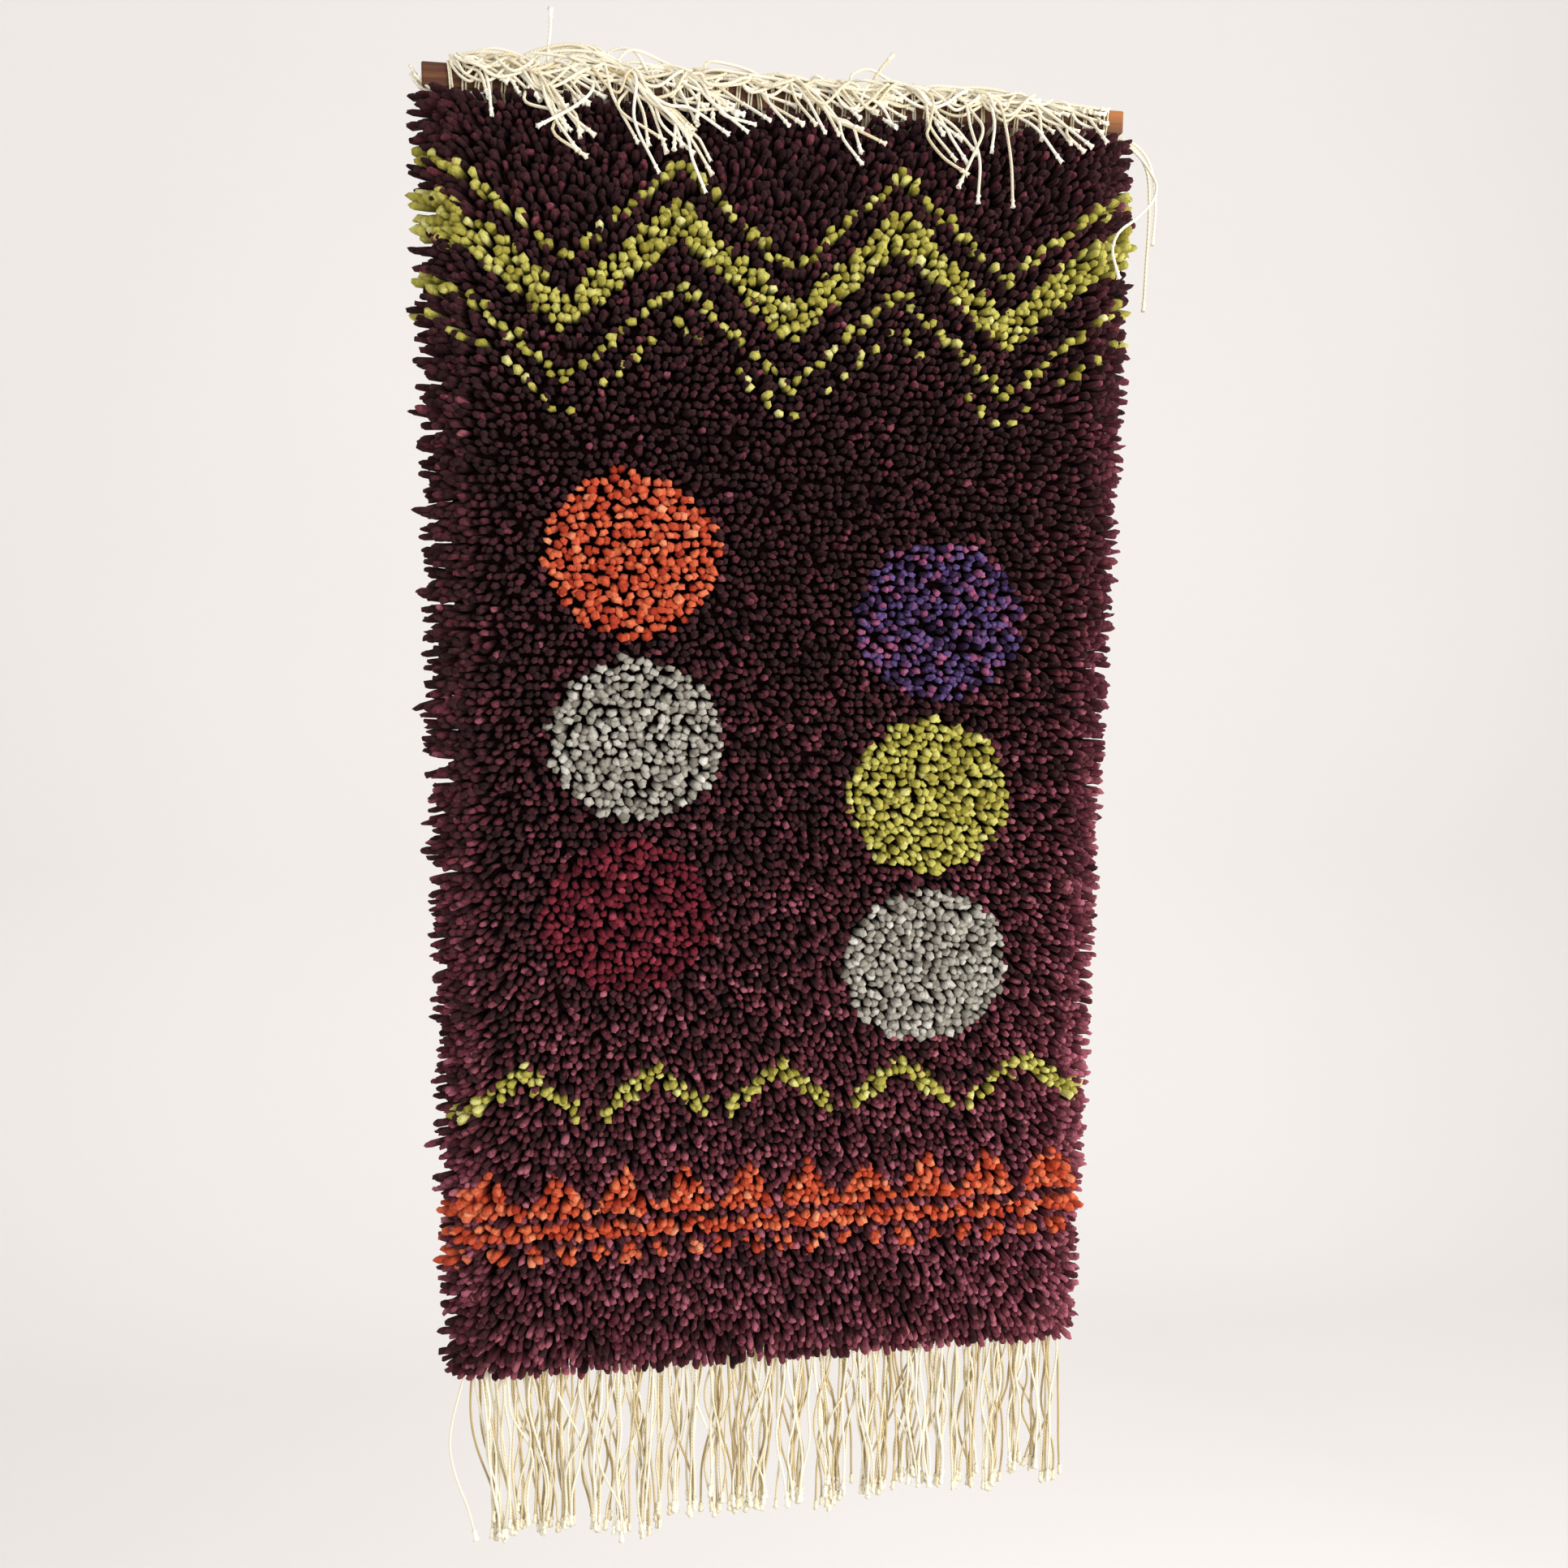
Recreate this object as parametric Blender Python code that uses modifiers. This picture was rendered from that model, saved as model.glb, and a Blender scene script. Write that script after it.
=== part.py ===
# Knotted pile wall hanging on a wooden batten.
# Metres. +X is to the right as it hangs, +Z is up and +Y points into the wall.
# The origin lies on the batten's back face, above the middle of the cloth.

import math
import random

import bmesh
import bpy
from mathutils import Vector, noise

# Batten
BATTEN_LEFT = -0.3205
BATTEN_RIGHT = 0.3125
BATTEN_HIGH = 0.020
BATTEN_DEEP = 0.010
BATTEN_EDGE = 0.0016

# Gap kept between pieces that touch, and the angle past which an edge is drawn sharp
GAP = 0.0003
SHARP_DEGREES = 50

# Warp loops round the batten, and the heading strip below it that they grow from
LOOP_COUNT = 32
LOOP_WIDE = 0.0034
LOOP_THICK = 0.0013
HEADING_DEEP = 0.003
HEADING_HIGH = 0.0078

# Woven ground
CLOTH_WIDE = 0.600
CLOTH_LONG = 1.161
CLOTH_THICK = 0.003
CLOTH_FRONT = -0.0065
EDGE_WANDER = 0.0015

# How far the left and right edges of the cloth stand forward, at each drop below its top
HANG = (
    {"drop": 0.00, "left": 0.0000, "right": 0.0000},
    {"drop": 0.16, "left": 0.0025, "right": 0.0020},
    {"drop": 0.36, "left": 0.0012, "right": 0.0030},
    {"drop": 0.58, "left": 0.0030, "right": 0.0014},
    {"drop": 0.82, "left": 0.0012, "right": 0.0028},
    {"drop": 1.00, "left": 0.0026, "right": 0.0018},
    {"drop": 1.20, "left": 0.0050, "right": 0.0038},
)

# Pile: a lumpy slab of cut yarn ends in front of the ground
PILE_DEEP = 0.024
PILE_DEEP_AT_TOP = 0.015
PILE_SETTLE = 0.045
PILE_COLUMNS = 20
PILE_ROWS = 60
PILE_TOP = -0.0175
PILE_BOTTOM = -1.178
PILE_FRONT_SPREAD = 0.006
PILE_WAIST_SPREAD = 0.013
PILE_BACK_SPREAD = 0.002
PILE_WAIST = 0.45
PILE_TAPER = 0.005
PILE_RIM_ROUND = 0.0045
PILE_LUMP = 0.0032
PILE_LUMPS_PER_METRE = 60
PILE_SHIFT = 0.004
LOCK_LONG = 0.0085
LOCK_SHORTEST = 0.55
LOCK_LONGEST = 1.25
LOCK_TIP = 0.38
LOCK_DROOP = 0.35

# Warp ends below the cloth
FRINGE_COUNT = 80
FRINGE_STRIP_HIGH = 0.008
FRINGE_STRAND = 0.0026
FRINGE_TIP_PITCH = 0.0043
FRINGE_LONG = 0.163
FRINGE_SLANT = 0.014
FRINGE_UNEVEN = 0.014
FRINGE_SHARE = 0.9
FRINGE_DRIFT = 0.0026
FRINGE_LEAN = 0.0035
FRINGE_SWAY = 0.0018
FRINGE_STEPS = (0.16, 0.38, 0.60, 0.82, 1.00)
FRINGE_BUNCHES = (4, 3, 5, 4, 2, 5, 3, 4, 5, 3, 4, 4, 3, 5, 4, 3, 5, 4, 3, 4, 3)

# Knotted end of a warp thread, which opens like a small brush
KNOT_SWELL = 1.7
KNOT_LONG = 0.006

# Warp ends tied over the batten: the height of their tangle along the batten, and its
# bunches from left to right, each with the place and height of its lowest ends
TANGLE = (
    {"x": -0.300, "high": 0.006},
    {"x": -0.235, "high": 0.019},
    {"x": -0.185, "high": 0.025},
    {"x": -0.140, "high": 0.013},
    {"x": -0.080, "high": 0.018},
    {"x": -0.020, "high": 0.010},
    {"x": 0.040, "high": 0.011},
    {"x": 0.100, "high": 0.017},
    {"x": 0.150, "high": 0.016},
    {"x": 0.200, "high": 0.014},
    {"x": 0.250, "high": 0.007},
    {"x": 0.292, "high": 0.003},
)
BUNCHES = (
    {"ends": 2, "tip": -0.258, "low": -0.034, "fan": 0.007},
    {"ends": 6, "tip": -0.187, "low": -0.067, "fan": 0.005},
    {"ends": 3, "tip": -0.130, "low": -0.070, "fan": 0.009},
    {"ends": 5, "tip": -0.083, "low": -0.087, "fan": 0.005},
    {"ends": 3, "tip": -0.040, "low": -0.034, "fan": 0.006},
    {"ends": 3, "tip": -0.002, "low": -0.025, "fan": 0.007},
    {"ends": 4, "tip": 0.054, "low": -0.055, "fan": 0.006},
    {"ends": 2, "tip": 0.084, "low": -0.038, "fan": 0.006},
    {"ends": 5, "tip": 0.144, "low": -0.049, "fan": 0.005},
    {"ends": 4, "tip": 0.184, "low": -0.083, "fan": 0.011},
    {"ends": 3, "tip": 0.240, "low": -0.041, "fan": 0.006},
    {"ends": 4, "tip": 0.280, "low": -0.027, "fan": 0.006},
)
TANGLE_LEFT = -0.296
TANGLE_RIGHT = 0.289
TANGLE_LOCK = 0.0036
TANGLE_LAYER = 0.0045
TANGLE_SHORTER = 0.13
TANGLE_LEAST_DROP = 0.020
RIDGE_HIGH = 0.0026
RIDGE_PITCH = 0.031
RIDGE_TURN = 1.3
BULGE_OUT = 0.0070
BULGE_UPPER = 0.0060
BULGE_LOWER = 0.0115
BULGE_TUCK = 0.0085
SILL_DROP = 0.011
OVER_EVERY = 3
OVER_RUN = 0.038
OVER_STATIONS = (
    {"run": 0.10, "turn": 2, "lift": 0.6},
    {"run": 0.28, "turn": 2, "lift": 1.0},
    {"run": 0.54, "turn": 2, "lift": 0.9},
    {"run": 0.78, "turn": 3, "lift": 0.4},
)
OVER_CLEAR = 0.0038
OVER_END = 0.0135
PILE_CLEAR = 0.0045
STANDING_ENDS = (
    {"near": -0.211, "rise": 0.020, "lean": 0.000},
    {"near": 0.077, "rise": 0.016, "lean": 0.013},
)

# Two warp ends that missed the batten, from the heading's right end outwards and down:
# one beside the pile, the other brought forward across the pile's edge
LOOSE_BESIDE = (
    (0.3150, -0.0050, -0.0135),
    (0.3330, -0.0050, -0.0225),
    (0.3440, -0.0050, -0.0400),
    (0.3490, -0.0055, -0.0700),
    (0.3480, -0.0060, -0.1100),
    (0.3425, -0.0060, -0.1580),
    (0.3418, -0.0060, -0.1640),
)
LOOSE_ACROSS = (
    (0.3140, -0.0052, -0.0190),
    (0.3280, -0.0100, -0.0290),
    (0.3360, -0.0170, -0.0450),
    (0.3370, -0.0300, -0.0620),
    (0.3290, -0.0450, -0.0790),
    (0.3120, -0.0475, -0.0960),
    (0.2980, -0.0475, -0.1070),
    (0.2925, -0.0470, -0.1230),
    (0.2980, -0.0465, -0.1410),
    (0.3015, -0.0465, -0.1465),
)
LOOSE_SHARE = 0.66

BATTEN_FRONT = -BATTEN_DEEP
BATTEN_TOP = BATTEN_HIGH / 2
BATTEN_UNDER = -BATTEN_HIGH / 2
HEADING_TOP = BATTEN_UNDER - GAP - LOOP_THICK / 2
HEADING_BOTTOM = HEADING_TOP - HEADING_HIGH
HEADING_BACK = CLOTH_FRONT + HEADING_DEEP
CLOTH_TOP = HEADING_BOTTOM - GAP
CLOTH_BOTTOM = CLOTH_TOP - CLOTH_LONG
FRINGE_TOP = CLOTH_BOTTOM - GAP
HALF_CLOTH = CLOTH_WIDE / 2
TANGLE_ENDS = sum(bunch["ends"] for bunch in BUNCHES)


def clear_scene():
    for obj in list(bpy.data.objects):
        bpy.data.objects.remove(obj, do_unlink=True)


def new_collection(name):
    made = bpy.data.collections.new(name)
    bpy.context.scene.collection.children.link(made)
    return made


def material(name, colour, roughness):
    made = bpy.data.materials.new(name)
    made.use_nodes = True
    shader = made.node_tree.nodes["Principled BSDF"]
    shader.inputs["Base Color"].default_value = (*colour, 1.0)
    shader.inputs["Roughness"].default_value = roughness
    shader.inputs["Metallic"].default_value = 0.0
    return made


def add_object(name, bm, collection, finish, smooth=True):
    mesh = bpy.data.meshes.new(name)
    bmesh.ops.recalc_face_normals(bm, faces=bm.faces)
    bm.to_mesh(mesh)
    bm.free()
    if smooth:
        mesh.shade_smooth()
        mesh.set_sharp_from_angle(angle=math.radians(SHARP_DEGREES))
    obj = bpy.data.objects.new(name, mesh)
    obj.data.materials.append(finish)
    collection.objects.link(obj)
    return obj


def eased(t):
    return t * t * (3 - 2 * t)


def along(table, key, value, column):
    # The table's column at a value of its key, eased between the rows
    value = min(max(value, table[0][key]), table[-1][key])
    for before, after in zip(table, table[1:]):
        if value <= after[key]:
            t = (value - before[key]) / (after[key] - before[key])
            return before[column] + (after[column] - before[column]) * eased(t)
    return table[-1][column]


def forward(x, z):
    # How far the hanging cloth stands forward of its top edge here
    drop = max(0.0, CLOTH_TOP - z)
    left = along(HANG, "drop", drop, "left")
    right = along(HANG, "drop", drop, "right")
    return left + (right - left) * (x / CLOTH_WIDE + 0.5)


def edge_wander(z, side):
    return EDGE_WANDER * math.sin(z * 11.0 + side) * math.sin(z * 4.3 + 2 * side)


def grow(bm, face, path, sizes):
    # Draws a face out along a path, turning it with the path, as a strand fused to its root
    centre = face.calc_center_median()
    spokes = [corner.co - centre for corner in face.verts]
    heading = face.normal.copy()
    points = [centre] + [Vector(p) for p in path]
    for i in range(1, len(points)):
        face = bmesh.ops.extrude_discrete_faces(bm, faces=[face])["faces"][0]
        ahead = points[min(i + 1, len(points) - 1)]
        course = (ahead - points[i - 1]).normalized()
        turn = heading.rotation_difference(course)
        spokes = [turn @ spoke for spoke in spokes]
        heading = course
        for corner, spoke in zip(face.verts, spokes):
            corner.co = points[i] + spoke * sizes[i - 1]
        face.normal_update()


def box(name, low, high, collection, finish):
    bm = bmesh.new()
    bmesh.ops.create_cube(bm, size=1.0)
    size = [b - a for a, b in zip(low, high)]
    middle = [(a + b) / 2 for a, b in zip(low, high)]
    bmesh.ops.scale(bm, vec=size, verts=bm.verts)
    bmesh.ops.translate(bm, vec=middle, verts=bm.verts)
    return add_object(name, bm, collection, finish, smooth=False)


def divide(bm, point, normal):
    # Cuts new edges into the faces along a plane
    geometry = bm.verts[:] + bm.edges[:] + bm.faces[:]
    bmesh.ops.bisect_plane(bm, geom=geometry, plane_co=point, plane_no=normal)


def make_batten(collection, finish):
    batten = box(
        "batten",
        (BATTEN_LEFT, BATTEN_FRONT, BATTEN_UNDER),
        (BATTEN_RIGHT, 0.0, BATTEN_TOP),
        collection,
        finish,
    )
    bevel = batten.modifiers.new("rounded edges", "BEVEL")
    bevel.width = BATTEN_EDGE
    bevel.segments = 2
    bevel.limit_method = "ANGLE"
    return batten


def strip_grid(bm, columns, deep, high, top):
    # A strip under the cloth's edge, with a column line at each x given
    made = bmesh.ops.create_grid(bm, x_segments=len(columns) - 1, y_segments=1, size=0.5)
    for corner in made["verts"]:
        column = round((corner.co.x + 0.5) * (len(columns) - 1))
        corner.co = (columns[column], CLOTH_FRONT + deep * (corner.co.y + 0.5), top)
    extruded = bmesh.ops.extrude_face_region(bm, geom=bm.faces[:])["geom"]
    lower = [item for item in extruded if isinstance(item, bmesh.types.BMVert)]
    bmesh.ops.translate(bm, vec=(0, 0, -high), verts=lower)
    bmesh.ops.recalc_face_normals(bm, faces=bm.faces)


def loop_outline(collection):
    # One warp pair from the side: up the batten's front, over it and down its back
    inner = GAP
    outer = GAP + LOOP_THICK
    shapes = (
        (
            (outer, BATTEN_TOP + outer),
            (outer, BATTEN_UNDER),
            (HEADING_BACK - GAP, HEADING_TOP - LOOP_THICK),
            (CLOTH_FRONT + GAP, HEADING_TOP - LOOP_THICK),
            (BATTEN_FRONT - outer, BATTEN_UNDER),
            (BATTEN_FRONT - outer, BATTEN_TOP + outer),
        ),
        (
            (inner, BATTEN_TOP + inner),
            (inner, BATTEN_UNDER - inner),
            (BATTEN_FRONT - inner, BATTEN_UNDER - inner),
            (BATTEN_FRONT - inner, BATTEN_TOP + inner),
        ),
    )
    outline = bpy.data.curves.new("loop outline", "CURVE")
    outline.dimensions = "2D"
    outline.fill_mode = "BOTH"
    outline.extrude = LOOP_WIDE / 2
    for shape in shapes:
        spline = outline.splines.new("POLY")
        spline.points.add(len(shape) - 1)
        spline.use_cyclic_u = True
        for point, (y, z) in zip(spline.points, shape):
            point.co = (y, z, 0, 1)
    guide = bpy.data.objects.new("loop outline", outline)
    guide.rotation_euler = (math.pi / 2, 0, math.pi / 2)
    collection.objects.link(guide)
    return guide


def make_loops(collection, helpers, finish):
    guide = loop_outline(helpers)
    bpy.context.view_layer.update()
    graph = bpy.context.evaluated_depsgraph_get()
    one = bpy.data.meshes.new_from_object(guide.evaluated_get(graph))
    one.transform(guide.matrix_world)
    bpy.data.objects.remove(guide)
    pitch = CLOTH_WIDE / LOOP_COUNT
    loops = bmesh.new()
    for i in range(LOOP_COUNT):
        before = len(loops.verts)
        loops.from_mesh(one)
        loops.verts.ensure_lookup_table()
        shift = -HALF_CLOTH + pitch * (i + 0.5)
        bmesh.ops.translate(loops, vec=(shift, 0, 0), verts=loops.verts[before:])
    bmesh.ops.remove_doubles(loops, verts=loops.verts, dist=0.00002)
    cutter = add_object("loops to join", loops, helpers, finish, smooth=False)
    cutter.hide_render = True
    cutter.display_type = "WIRE"
    heading = bmesh.new()
    strip_grid(heading, (-HALF_CLOTH, HALF_CLOTH), HEADING_DEEP, HEADING_HIGH, HEADING_TOP)
    add_loose_threads(heading)
    joined = add_object("warp_loops", heading, collection, finish, smooth=False)
    union = joined.modifiers.new("loops on heading", "BOOLEAN")
    union.operation = "UNION"
    union.solver = "EXACT"
    union.object = cutter
    return joined


def add_loose_threads(bm):
    # Two warp ends that missed the batten and hang down past the pile's right edge
    divide(bm, (0, 0, HEADING_TOP - HEADING_HIGH / 2), (0, 0, 1))
    ends = [f for f in bm.faces if f.normal.x > 0.9]
    ends.sort(key=lambda f: f.calc_center_median().z)
    for face, path in zip(ends, (LOOSE_ACROSS, LOOSE_BESIDE)):
        sizes = [LOOSE_SHARE] * (len(path) - 1) + [LOOSE_SHARE * KNOT_SWELL]
        grow(bm, face, path, sizes)


def pile_row(down):
    # Height of the pile at a share of the way down it
    return PILE_TOP + (PILE_BOTTOM - PILE_TOP) * down


def make_cloth(collection, finish):
    # Its rows lie at the pile's own heights, so that the two curve alike
    shared = [pile_row(row / PILE_ROWS) for row in range(PILE_ROWS + 1)]
    rows = [z for z in shared if CLOTH_BOTTOM + GAP < z < CLOTH_TOP - GAP]
    rows = [CLOTH_BOTTOM, *reversed(rows), CLOTH_TOP]
    bm = bmesh.new()
    made = bmesh.ops.create_grid(bm, x_segments=1, y_segments=len(rows) - 1, size=0.5)
    for corner in made["verts"]:
        side = 1 if corner.co.x > 0 else -1
        z = rows[round((corner.co.y + 0.5) * (len(rows) - 1))]
        fade = math.sin(math.pi * (CLOTH_TOP - z) / CLOTH_LONG)
        x = side * (HALF_CLOTH + edge_wander(z, side) * fade)
        corner.co = (x, CLOTH_FRONT - forward(side * HALF_CLOTH, z), z)
    extruded = bmesh.ops.extrude_face_region(bm, geom=bm.faces[:])["geom"]
    back = [item for item in extruded if isinstance(item, bmesh.types.BMVert)]
    bmesh.ops.translate(bm, vec=(0, CLOTH_THICK, 0), verts=back)
    return add_object("ground_weave", bm, collection, finish)


def pile_half(z):
    # Half the ground's width under the pile, a little narrower towards the bottom
    share = (PILE_TOP - z) / (PILE_TOP - PILE_BOTTOM)
    return HALF_CLOTH - PILE_TAPER * share


def pile_depth(z):
    settled = min(1.0, (PILE_TOP - z) / PILE_SETTLE)
    return PILE_DEEP_AT_TOP + (PILE_DEEP - PILE_DEEP_AT_TOP) * eased(settled)


def pile_ring(bm, edges, spread, depth_share, lift):
    # One more ring of the pile's side, from the given edges back towards the cloth
    made = bmesh.ops.extrude_edge_only(bm, edges=edges)["geom"]
    ring = [item for item in made if isinstance(item, bmesh.types.BMVert)]
    for corner in ring:
        x, _, z = corner.co
        side = 0
        if abs(x) > pile_half(z) + PILE_FRONT_SPREAD * 0.5:
            side = 1 if x > 0 else -1
        if side:
            x = side * (pile_half(z) + spread)
        if z > PILE_TOP - PILE_FRONT_SPREAD:
            z = PILE_TOP
        if z < PILE_BOTTOM + PILE_FRONT_SPREAD:
            z = PILE_BOTTOM - lift
        face = CLOTH_FRONT - GAP - forward(x, z)
        corner.co = (x, face - pile_depth(z) * depth_share, z)
    return [item for item in made if isinstance(item, bmesh.types.BMEdge) and item.is_boundary]


def make_pile(collection, finish):
    bm = bmesh.new()
    made = bmesh.ops.create_grid(bm, x_segments=PILE_COLUMNS, y_segments=PILE_ROWS, size=0.5)
    for corner in made["verts"]:
        across, down = corner.co.x * 2, 0.5 - corner.co.y
        rim = abs(across) > 0.999 or down < 0.001 or down > 0.999
        z = pile_row(down)
        x = across * (pile_half(z) + PILE_FRONT_SPREAD)
        seed = Vector((x, 0.05, z)) * PILE_LUMPS_PER_METRE
        if not rim:
            x += PILE_SHIFT * noise.noise(seed + Vector((7.0, 0, 0)))
            z += PILE_SHIFT * noise.noise(seed + Vector((0, 0, 9.0)))
        lump = PILE_LUMP * (2.0 * noise.noise(seed * 1.3) + 0.7 * noise.noise(seed * 0.2))
        rounding = PILE_RIM_ROUND if rim else 0.0
        y = CLOTH_FRONT - GAP - forward(x, z) - pile_depth(z) - lump + rounding
        corner.co = (x, y, z)
    rim_edges = [edge for edge in bm.edges if edge.is_boundary]
    waist = pile_ring(bm, rim_edges, PILE_WAIST_SPREAD, PILE_WAIST, LOCK_LONG / 2)
    pile_ring(bm, waist, PILE_BACK_SPREAD, 0.0, 0.0)
    close_back(bm)
    bmesh.ops.recalc_face_normals(bm, faces=bm.faces)
    draw_rim_locks(bm)
    return add_object("pile", bm, collection, finish)


def close_back(bm):
    # The flat back against the cloth, one long face for each row
    edge = {corner for side in bm.edges if side.is_boundary for corner in side.verts}
    sides = [c for c in edge if abs(c.co.x) > pile_half(c.co.z)]
    ends = sorted(edge.difference(sides), key=lambda c: c.co.x)
    sides.sort(key=lambda c: -c.co.z)
    left = [c for c in sides if c.co.x < 0]
    right = [c for c in sides if c.co.x > 0]
    middle = (PILE_TOP + PILE_BOTTOM) / 2
    top = [c for c in ends if c.co.z > middle]
    bottom = [c for c in ends if c.co.z < middle]
    for row in range(PILE_ROWS):
        upper = top if row == 0 else []
        lower = reversed(bottom) if row == PILE_ROWS - 1 else []
        corners = [left[row], *upper, right[row], right[row + 1], *lower, left[row + 1]]
        bm.faces.new(corners)


def on_rim(face):
    # Whether a face of the pile looks outwards or down, in front of the slab's waist
    middle = face.calc_center_median()
    outward = abs(middle.x) > pile_half(middle.z) + PILE_FRONT_SPREAD * 1.1
    below = middle.z < PILE_BOTTOM and abs(middle.x) < HALF_CLOTH
    ahead = middle.y < CLOTH_FRONT - forward(middle.x, middle.z) - PILE_DEEP * PILE_WAIST
    return (outward or below) and ahead and len(face.verts) == 4


def draw_rim_locks(bm):
    # The outermost yarn ends stand out past the slab at the sides and the bottom
    dice = random.Random(4)
    rim = [face for face in bm.faces if on_rim(face)]
    rim.sort(key=lambda f: (round(f.calc_center_median().z, 4), f.calc_center_median().x))
    for face in rim:
        middle = face.calc_center_median()
        if abs(middle.x) > pile_half(middle.z):
            away = Vector((math.copysign(1.0, middle.x), face.normal.y * 0.5, -LOCK_DROOP))
        else:
            away = Vector((dice.uniform(-0.2, 0.2), face.normal.y * 0.4, -1.0))
        away.normalize()
        away *= LOCK_LONG * dice.uniform(LOCK_SHORTEST, LOCK_LONGEST)
        tip = bmesh.ops.extrude_discrete_faces(bm, faces=[face])["faces"][0]
        for corner in tip.verts:
            corner.co = middle + away + (corner.co - middle) * LOCK_TIP


def fringe_strip(bm):
    # The strip that the lower warp ends are fused to; gives back the face at each root
    pitch = CLOTH_WIDE / FRINGE_COUNT
    columns = [-HALF_CLOTH]
    for i in range(FRINGE_COUNT):
        x = -HALF_CLOTH + pitch * (i + 0.5)
        columns += [x - FRINGE_STRAND / 2, x + FRINGE_STRAND / 2]
    columns.append(HALF_CLOTH)
    strip_grid(bm, columns, CLOTH_THICK, FRINGE_STRIP_HIGH, FRINGE_TOP)
    for corner in bm.verts:
        corner.co.y -= forward(corner.co.x, FRINGE_TOP)
    bm.normal_update()
    under = [face for face in bm.faces if face.normal.z < -0.9]
    under.sort(key=lambda face: face.calc_center_median().x)
    return under[1::2]


def make_bottom_fringe(collection, finish):
    dice = random.Random(11)
    bm = bmesh.new()
    roots = fringe_strip(bm)
    first = 0
    for bunch, size in enumerate(FRINGE_BUNCHES):
        members = roots[first : first + size]
        first += size
        middle = sum(face.calc_center_median().x for face in members) / size
        drift = FRINGE_DRIFT * math.sin(bunch * 2.4)
        lean = FRINGE_LEAN * math.sin(bunch * 1.7)
        slant = FRINGE_SLANT * middle / CLOTH_WIDE
        bunch_long = FRINGE_LONG - slant + FRINGE_UNEVEN * 0.3 * math.sin(bunch * 1.3)
        for k, face in enumerate(members):
            start = face.calc_center_median()
            tip_x = middle + drift + (k - (size - 1) / 2) * FRINGE_TIP_PITCH
            long = bunch_long + FRINGE_UNEVEN * dice.uniform(-0.5, 0.5)
            path = []
            for t in FRINGE_STEPS:
                sway = FRINGE_SWAY * math.sin(t * 5.2 + bunch) * eased(t)
                x = start.x + (tip_x - start.x) * eased(t) + sway
                path.append((x, start.y + lean * t * t, start.z - long * t))
            sizes = [FRINGE_SHARE] * len(path) + [FRINGE_SHARE * KNOT_SWELL]
            grow(bm, face, flared(path), sizes)
    return add_object("bottom_fringe", bm, collection, finish)


def tangle_section(x):
    # The tangle across the batten, from its back round the top to the front, at one x.
    # Its threads sweep to the right, so its ridges slant from the back to the front.
    high = along(TANGLE, "x", x, "high")
    rough = 0.18 * high * noise.noise(Vector((x * 60, 1.7, 0.4)))
    ridge = min(RIDGE_HIGH, 0.2 * high)
    around = x * math.tau / RIDGE_PITCH
    swell = [ridge * math.sin(around - turn * RIDGE_TURN) for turn in range(4)]
    top = BATTEN_TOP + GAP + LOOP_THICK + GAP
    front = BATTEN_FRONT - GAP - LOOP_THICK - GAP
    return (
        (-0.0005, top),
        (-0.0015, top + 0.75 * high + swell[1]),
        (-0.0075, top + high + rough + swell[2]),
        (front - BULGE_OUT * 0.5 - swell[3] * 0.6, top + 0.55 * high + swell[3]),
        (front - BULGE_OUT, BATTEN_TOP - BULGE_UPPER),
        (front - BULGE_OUT * 0.65, BATTEN_TOP - BULGE_LOWER),
        (front, BATTEN_TOP - BULGE_TUCK),
        (front, top),
    )


def tangle_path(start, tip_x, low, layer):
    # A warp end that arches out over the pile's top edge and falls down its front
    sill = CLOTH_FRONT - GAP - PILE_DEEP - PILE_LUMP * 2 - PILE_CLEAR - layer
    run = tip_x - start.x
    fall = start.z - SILL_DROP
    stations = (
        {"run": 0.10, "y": start.y - 0.006, "z": start.z + 0.0005},
        {"run": 0.30, "y": (start.y + sill) / 2 - 0.004, "z": start.z - 0.0030},
        {"run": 0.54, "y": sill - 0.0005, "z": fall},
        {"run": 0.82, "y": sill - 0.0030, "z": fall + (low - fall) * 0.45},
        {"run": 1.00, "y": sill - 0.0035, "z": low},
    )
    return flared([(start.x + run * s["run"], s["y"], s["z"]) for s in stations])


def over_path(start):
    # A warp end that lies over the tangle and ends in front of it, above the other ends
    path = []
    for station in OVER_STATIONS:
        x = start.x + OVER_RUN * station["run"]
        steps = [x + step * TANGLE_LOCK for step in (-2, -1, 0, 1, 2)]
        near = [tangle_section(step)[station["turn"]] for step in steps]
        out = min(y for y, z in near) - OVER_CLEAR * (1 - station["lift"])
        up = max(z for y, z in near) + OVER_CLEAR * station["lift"]
        path.append((x, out if path else start.y, up))
    y = tangle_section(start.x + OVER_RUN)[4][0] - OVER_CLEAR
    path.append((start.x + OVER_RUN, y, OVER_END))
    return flared(path)


def flared(path):
    # The path with one more point ahead, where the knotted end opens like a small brush
    last, before = Vector(path[-1]), Vector(path[-2])
    return [*path, last + (last - before).normalized() * KNOT_LONG]


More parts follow.
